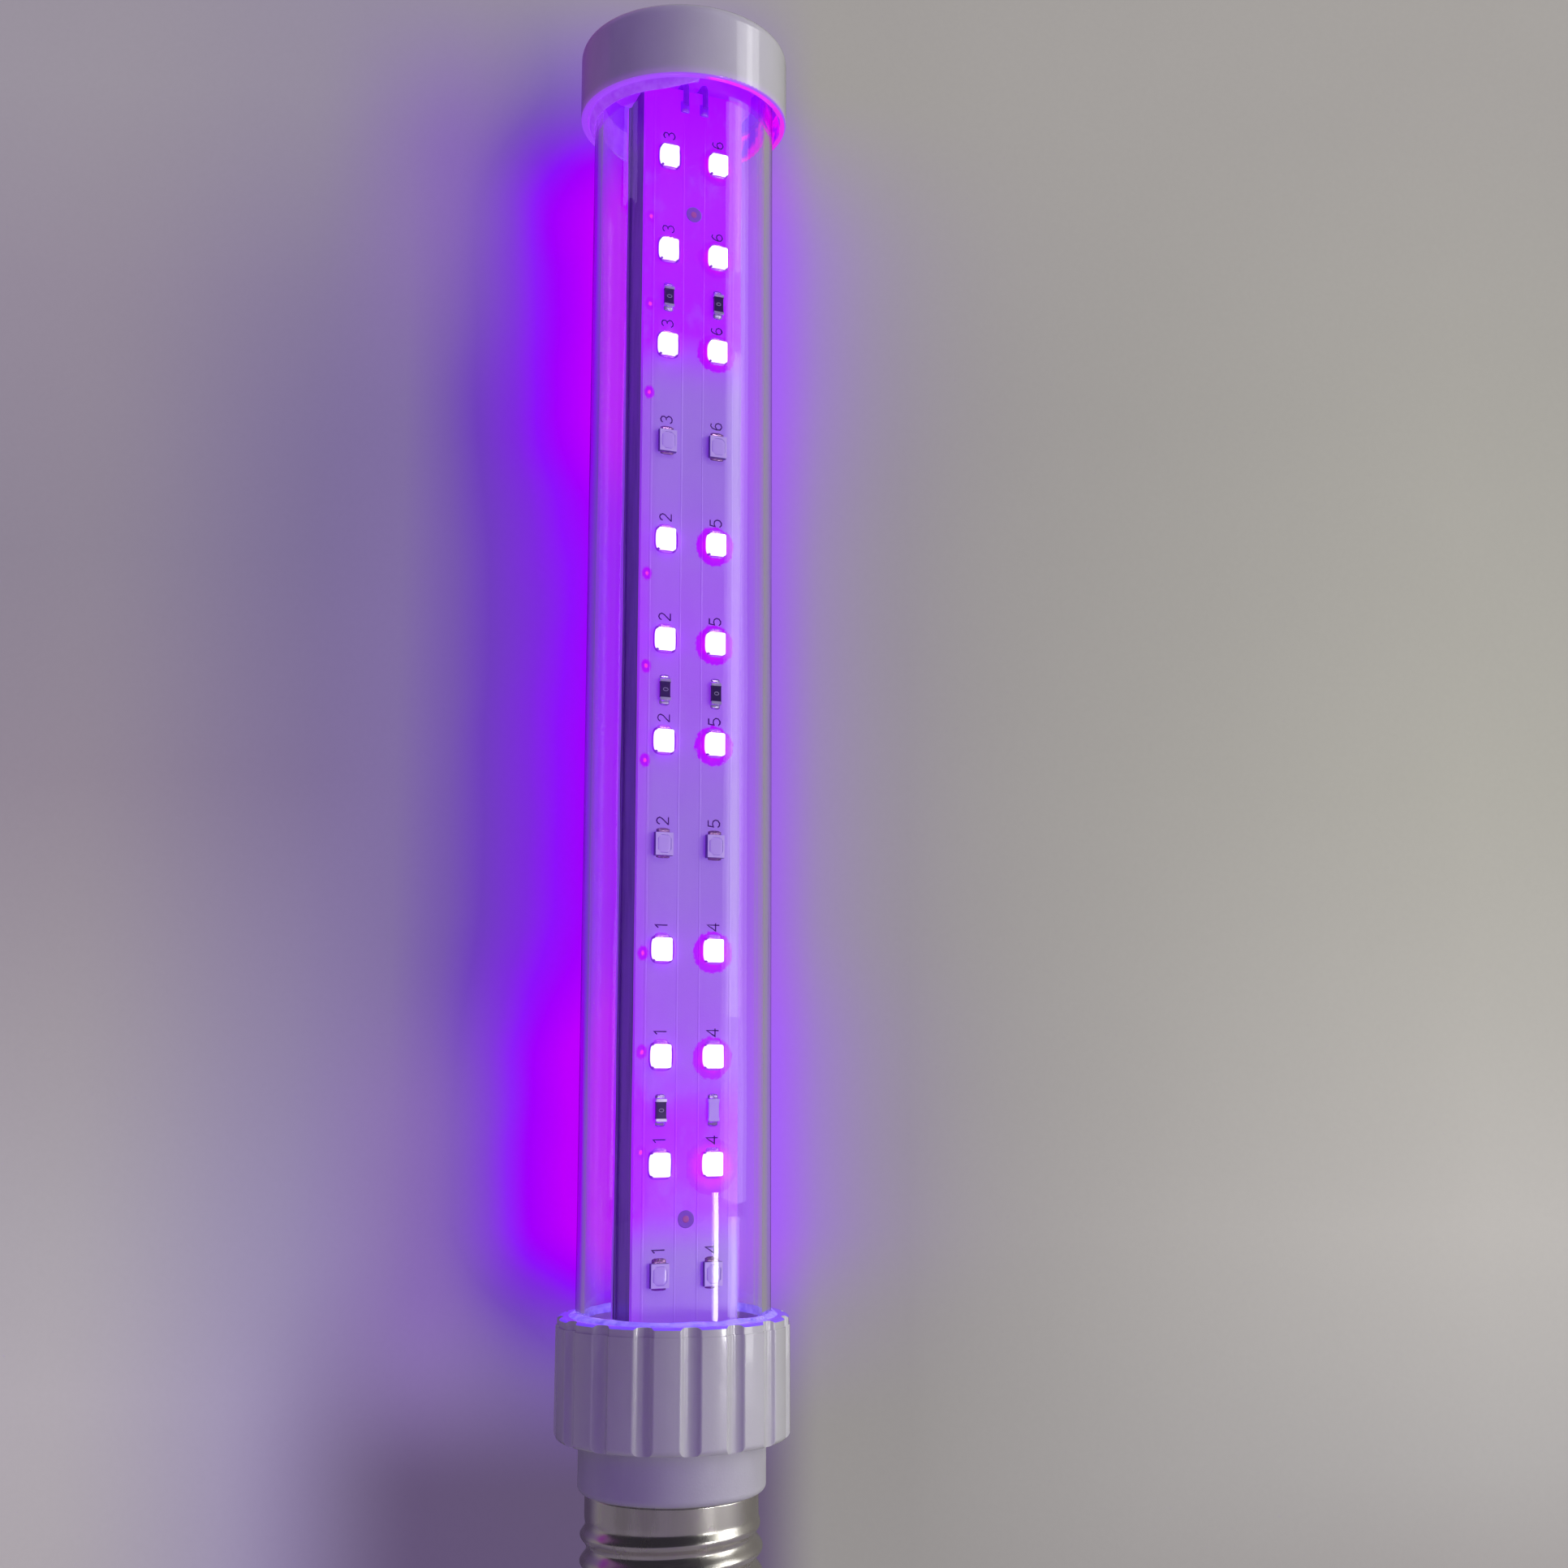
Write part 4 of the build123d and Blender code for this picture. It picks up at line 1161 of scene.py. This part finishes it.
def backdrop_paint(tree):
    """Colours of the backdrop, seen and mirrored: a pale sheet with painted studio light and shade, the
    lamp's painted shadow, the lamps' violet light painted on it as glow, and a painted deeper violet for
    reflections.
    """
    spot, _, _, up = place_in_mm(tree)
    side = along(spot, AXIS_SIDE)
    rise = calc("DIVIDE", up, 250, clamp=True)
    right_far = colour_ramp(rise, SHEET_RIGHT)
    # Painted shade, darker near the lamp on its right and lighter higher up
    high = ramp(up, 185, 258)
    right_near = blend(high, rgb(0.318, 0.3, 0.295), rgb(0.368, 0.348, 0.335))
    reach = calc("DIVIDE", minus(side, 38), 95, clamp=True)
    right = blend(calc("POWER", reach, 0.8), right_near, right_far)
    left_far = colour_ramp(rise, SHEET_LEFT)
    # Painted shadow of the lamp on its left, tinted violet
    left_near = blend(1, left_far, rgb(0.75, 0.68, 1.06), "MULTIPLY")
    low = scaled_by(high, -0.7, 1)
    shaded = times(ramp(side, -100, -54), low)
    left = blend(shaded, left_far, left_near)
    sheet = blend(ramp(side, -60, 30), left, right)

    # Painted shadow at the lamp's foot
    foot_shade = times(ramp(side, -72, -38), ramp(side, 24, 12), ramp(up, 60, 20))
    sheet = blend(times(foot_shade, 0.92), sheet, rgb(0.115, 0.078, 0.17))

    # Painted violet glow of the lamps on the backdrop left of the tube, strongest at two heights
    head = ramp(up, 252, 228)
    low_bump = times(ramp(up, 112, 86), ramp(up, 44, 62))
    high_bump = times(ramp(up, 165, 205), 0.85)
    bumps = total(low_bump, high_bump)
    near = calc("DIVIDE", calc("ADD", side, 46), 32, clamp=True)
    drift = noise_at(spot, (1, 1, 1), 0.03, 2)
    near = times(near, ramp(drift, 0.3, 0.7, 0.96, 1.04))
    painted_glow_level = times(
        near,
        scaled_by(bumps, 0.29, 0.8),
        scaled_by(head, 0.5, 0.5),
        ramp(up, 34, 62, 0.45, 1),
    )
    violet = colour_ramp(painted_glow_level, GLOW_STOPS)
    ends = calc("MAXIMUM", ramp(up, 188, 232), ramp(up, 108, 74))
    ends = times(ends, ramp(near, 0.75, 0.2), 0.62)
    violet = blend(ends, violet, rgb(0.285, 0.17, 0.5))
    cover = times(ramp(side, -64, -38), ramp(side, 24, 6), ramp(up, 276, 236), ramp(up, 18, 52))
    sheet = blend(cover, sheet, violet)

    # Painted violet glow on the backdrop right of the tube
    fall = calc("EXPONENT", calc("DIVIDE", minus(16.6, side), 10))
    right_glow = times(
        calc("MINIMUM", fall, 1),
        ramp(side, 2, 14),
        scaled_by(bumps, 0.34, 0.52),
        ramp(up, 254, 218),
        ramp(up, 28, 64),
    )
    sheet = blend(right_glow, sheet, rgb(0.385, 0.12, 1))

    grain = noise_at(spot, (1, 1, 1), 1.2, 4)
    clouds = noise_at(spot, (1, 1, 1), 0.02, 3)
    shade = total(0.945, times(grain, 0.05), times(clouds, 0.06))
    paint = blend(1, sheet, shade, "MULTIPLY")
    # Deeper violet on the left, seen only in reflections: a painted reflection colour
    deeper = blend(1, paint, rgb(1, 0.04, 1.3), "MULTIPLY")
    on_left = times(ramp(side, -5, -30), bumps)
    return paint, blend(on_left, paint, deeper)


def backdrop_finish():
    """Sheet that shows its paint, lets the lamps' rays pass, and is open from behind."""
    made, tree, surface = new_material("backdrop")
    paint, mirrored = backdrop_paint(tree)
    path = light_path(tree)
    strength = scaled_by(path["Is Diffuse Ray"], -0.65, 1)
    bounced = calc("SUBTRACT", path["Is Glossy Ray"], path["Is Transmission Ray"], clamp=True)
    strength = scaled_by(bounced, -0.4, strength)
    colour = blend(bounced, paint, mirrored)
    shown = put(tree, "Emission", {"Color": colour, "Strength": strength})
    sheet = put(tree, "BsdfDiffuse", {"Color": paint})
    lit = put(tree, "MixShader", {0: 0.95, 1: sheet.outputs[0], 2: shown.outputs[0]})
    clear = put(tree, "BsdfTransparent", {})
    back = put(tree, "NewGeometry", {}).outputs["Backfacing"]
    gone = calc("MAXIMUM", back, path["Is Shadow Ray"])
    mixed = put(tree, "MixShader", {0: gone, 1: lit.outputs[0], 2: clear.outputs[0]})
    tree.links.new(mixed.outputs[0], surface)
    return made


def floor_finish():
    """Pale matte floor with soft clouds."""
    made, tree, surface = new_material("floor")
    clouds = noise_at(place_in_mm(tree)[0], (1, 1, 1), 0.01, 3)
    colour = blend(clouds, rgb(0.6, 0.59, 0.58), rgb(0.7, 0.69, 0.68))
    principled(tree, surface, {"Base Color": colour, "Roughness": 0.7})
    return made


HALF_WIDTH = 0.55
SHEET_TOP = 0.62
FOOT_GAP = 0.0275
TOP_GAP = FOOT_GAP - 0.0105 * SHEET_TOP / 0.248
foot_centre = -AXIS_VIEW * FOOT_GAP
top_centre = -AXIS_VIEW * TOP_GAP + Vector((0, 0, SHEET_TOP))
side_reach = AXIS_SIDE * HALF_WIDTH
sheet_corners = [
    foot_centre - side_reach,
    foot_centre + side_reach,
    top_centre + side_reach,
    top_centre - side_reach,
]
plane_piece("backdrop_sheet", sheet_corners, backdrop_finish())
FLOOR_REACH = 0.9
FLOOR_DROP = -0.0002
floor_corners = [
    (sx * FLOOR_REACH, sy * FLOOR_REACH, FLOOR_DROP) for sx, sy in ((-1, -1), (1, -1), (1, 1), (-1, 1))
]
plane_piece("floor_sheet", floor_corners, floor_finish())


# Lamps of the studio
def soft_light(name, turn, distance, foot, top, width, power, tint=(1, 1, 1), mirrored=True):
    """Upright soft light; turn is degrees to the right of the camera's direction."""
    angle = math.radians(VIEW_AZIMUTH + turn)
    made = bpy.data.lights.new(name, "AREA")
    made.shape = "RECTANGLE"
    made.size = width
    made.size_y = top - foot
    made.energy = power
    made.color = tint
    stand = bpy.data.objects.new(name, made)
    stand.location = (distance * math.cos(angle), distance * math.sin(angle), (foot + top) / 2)
    toward = Vector((-stand.location.x, -stand.location.y, 0))
    stand.rotation_euler = toward.to_track_quat("-Z", "Y").to_euler()
    stand.visible_camera = False
    stand.visible_glossy = mirrored
    bpy.context.scene.collection.objects.link(stand)


soft_light("strip_light", 74.5, 0.8, 0.12, 0.51, 0.21, 0.43, (0.92, 1, 0.74))
soft_light("high_strip_light", 77, 0.8, 0.56, 0.8, 0.1, 0.13)
soft_light("low_strip_light", 49, 0.3, 0.012, 0.052, 0.022, 0.085)
soft_light("low_side_light", 75, 0.3, 0.005, 0.045, 0.07, 0.03)
soft_light("side_light", 80, 1.1, 0, 1, 0.8, 4.6)
soft_light("cap_light", 45, 0.3, 0.5, 0.62, 0.15, 0.62, (1, 1, 1), False)
soft_light("left_light", -75, 0.3, 0.36, 0.52, 0.12, 0.13, (0.66, 0.46, 1), False)
soft_light("violet_fill", -15, 1, 0, 0.8, 0.6, 1.8, (0.32, 0.03, 1), False)
soft_light("back_light", 180, 1.2, 0.1, 0.9, 0.8, 4)

world = bpy.data.worlds.new("room")
bpy.context.scene.world = world
world.use_nodes = True
room = world.node_tree
room.nodes.clear()
dim = put(room, "Background", {"Color": rgb(0.031, 0.028, 0.039)}).outputs[0]
pale = put(room, "Background", {"Color": rgb(0.62, 0.62, 0.62)}).outputs[0]
path = light_path(room)
straight = calc("LESS_THAN", total(path["Glossy Depth"], path["Diffuse Depth"]), 0.5)
both = put(room, "MixShader", {0: straight, 1: dim, 2: pale}).outputs[0]
put(room, "OutputWorld", {"Surface": both})

# Camera
camera_data = bpy.data.cameras.new("camera")
camera_data.lens = 43.42
camera_data.sensor_width = 36
camera = bpy.data.objects.new("camera", camera_data)
camera.location = (-0.09629, -0.26836, 0.0831)
camera.rotation_euler = (math.radians(99.013), 0, math.radians(-22.984))
bpy.context.scene.collection.objects.link(camera)
bpy.context.scene.camera = camera
bpy.context.scene.view_settings.view_transform = "Standard"
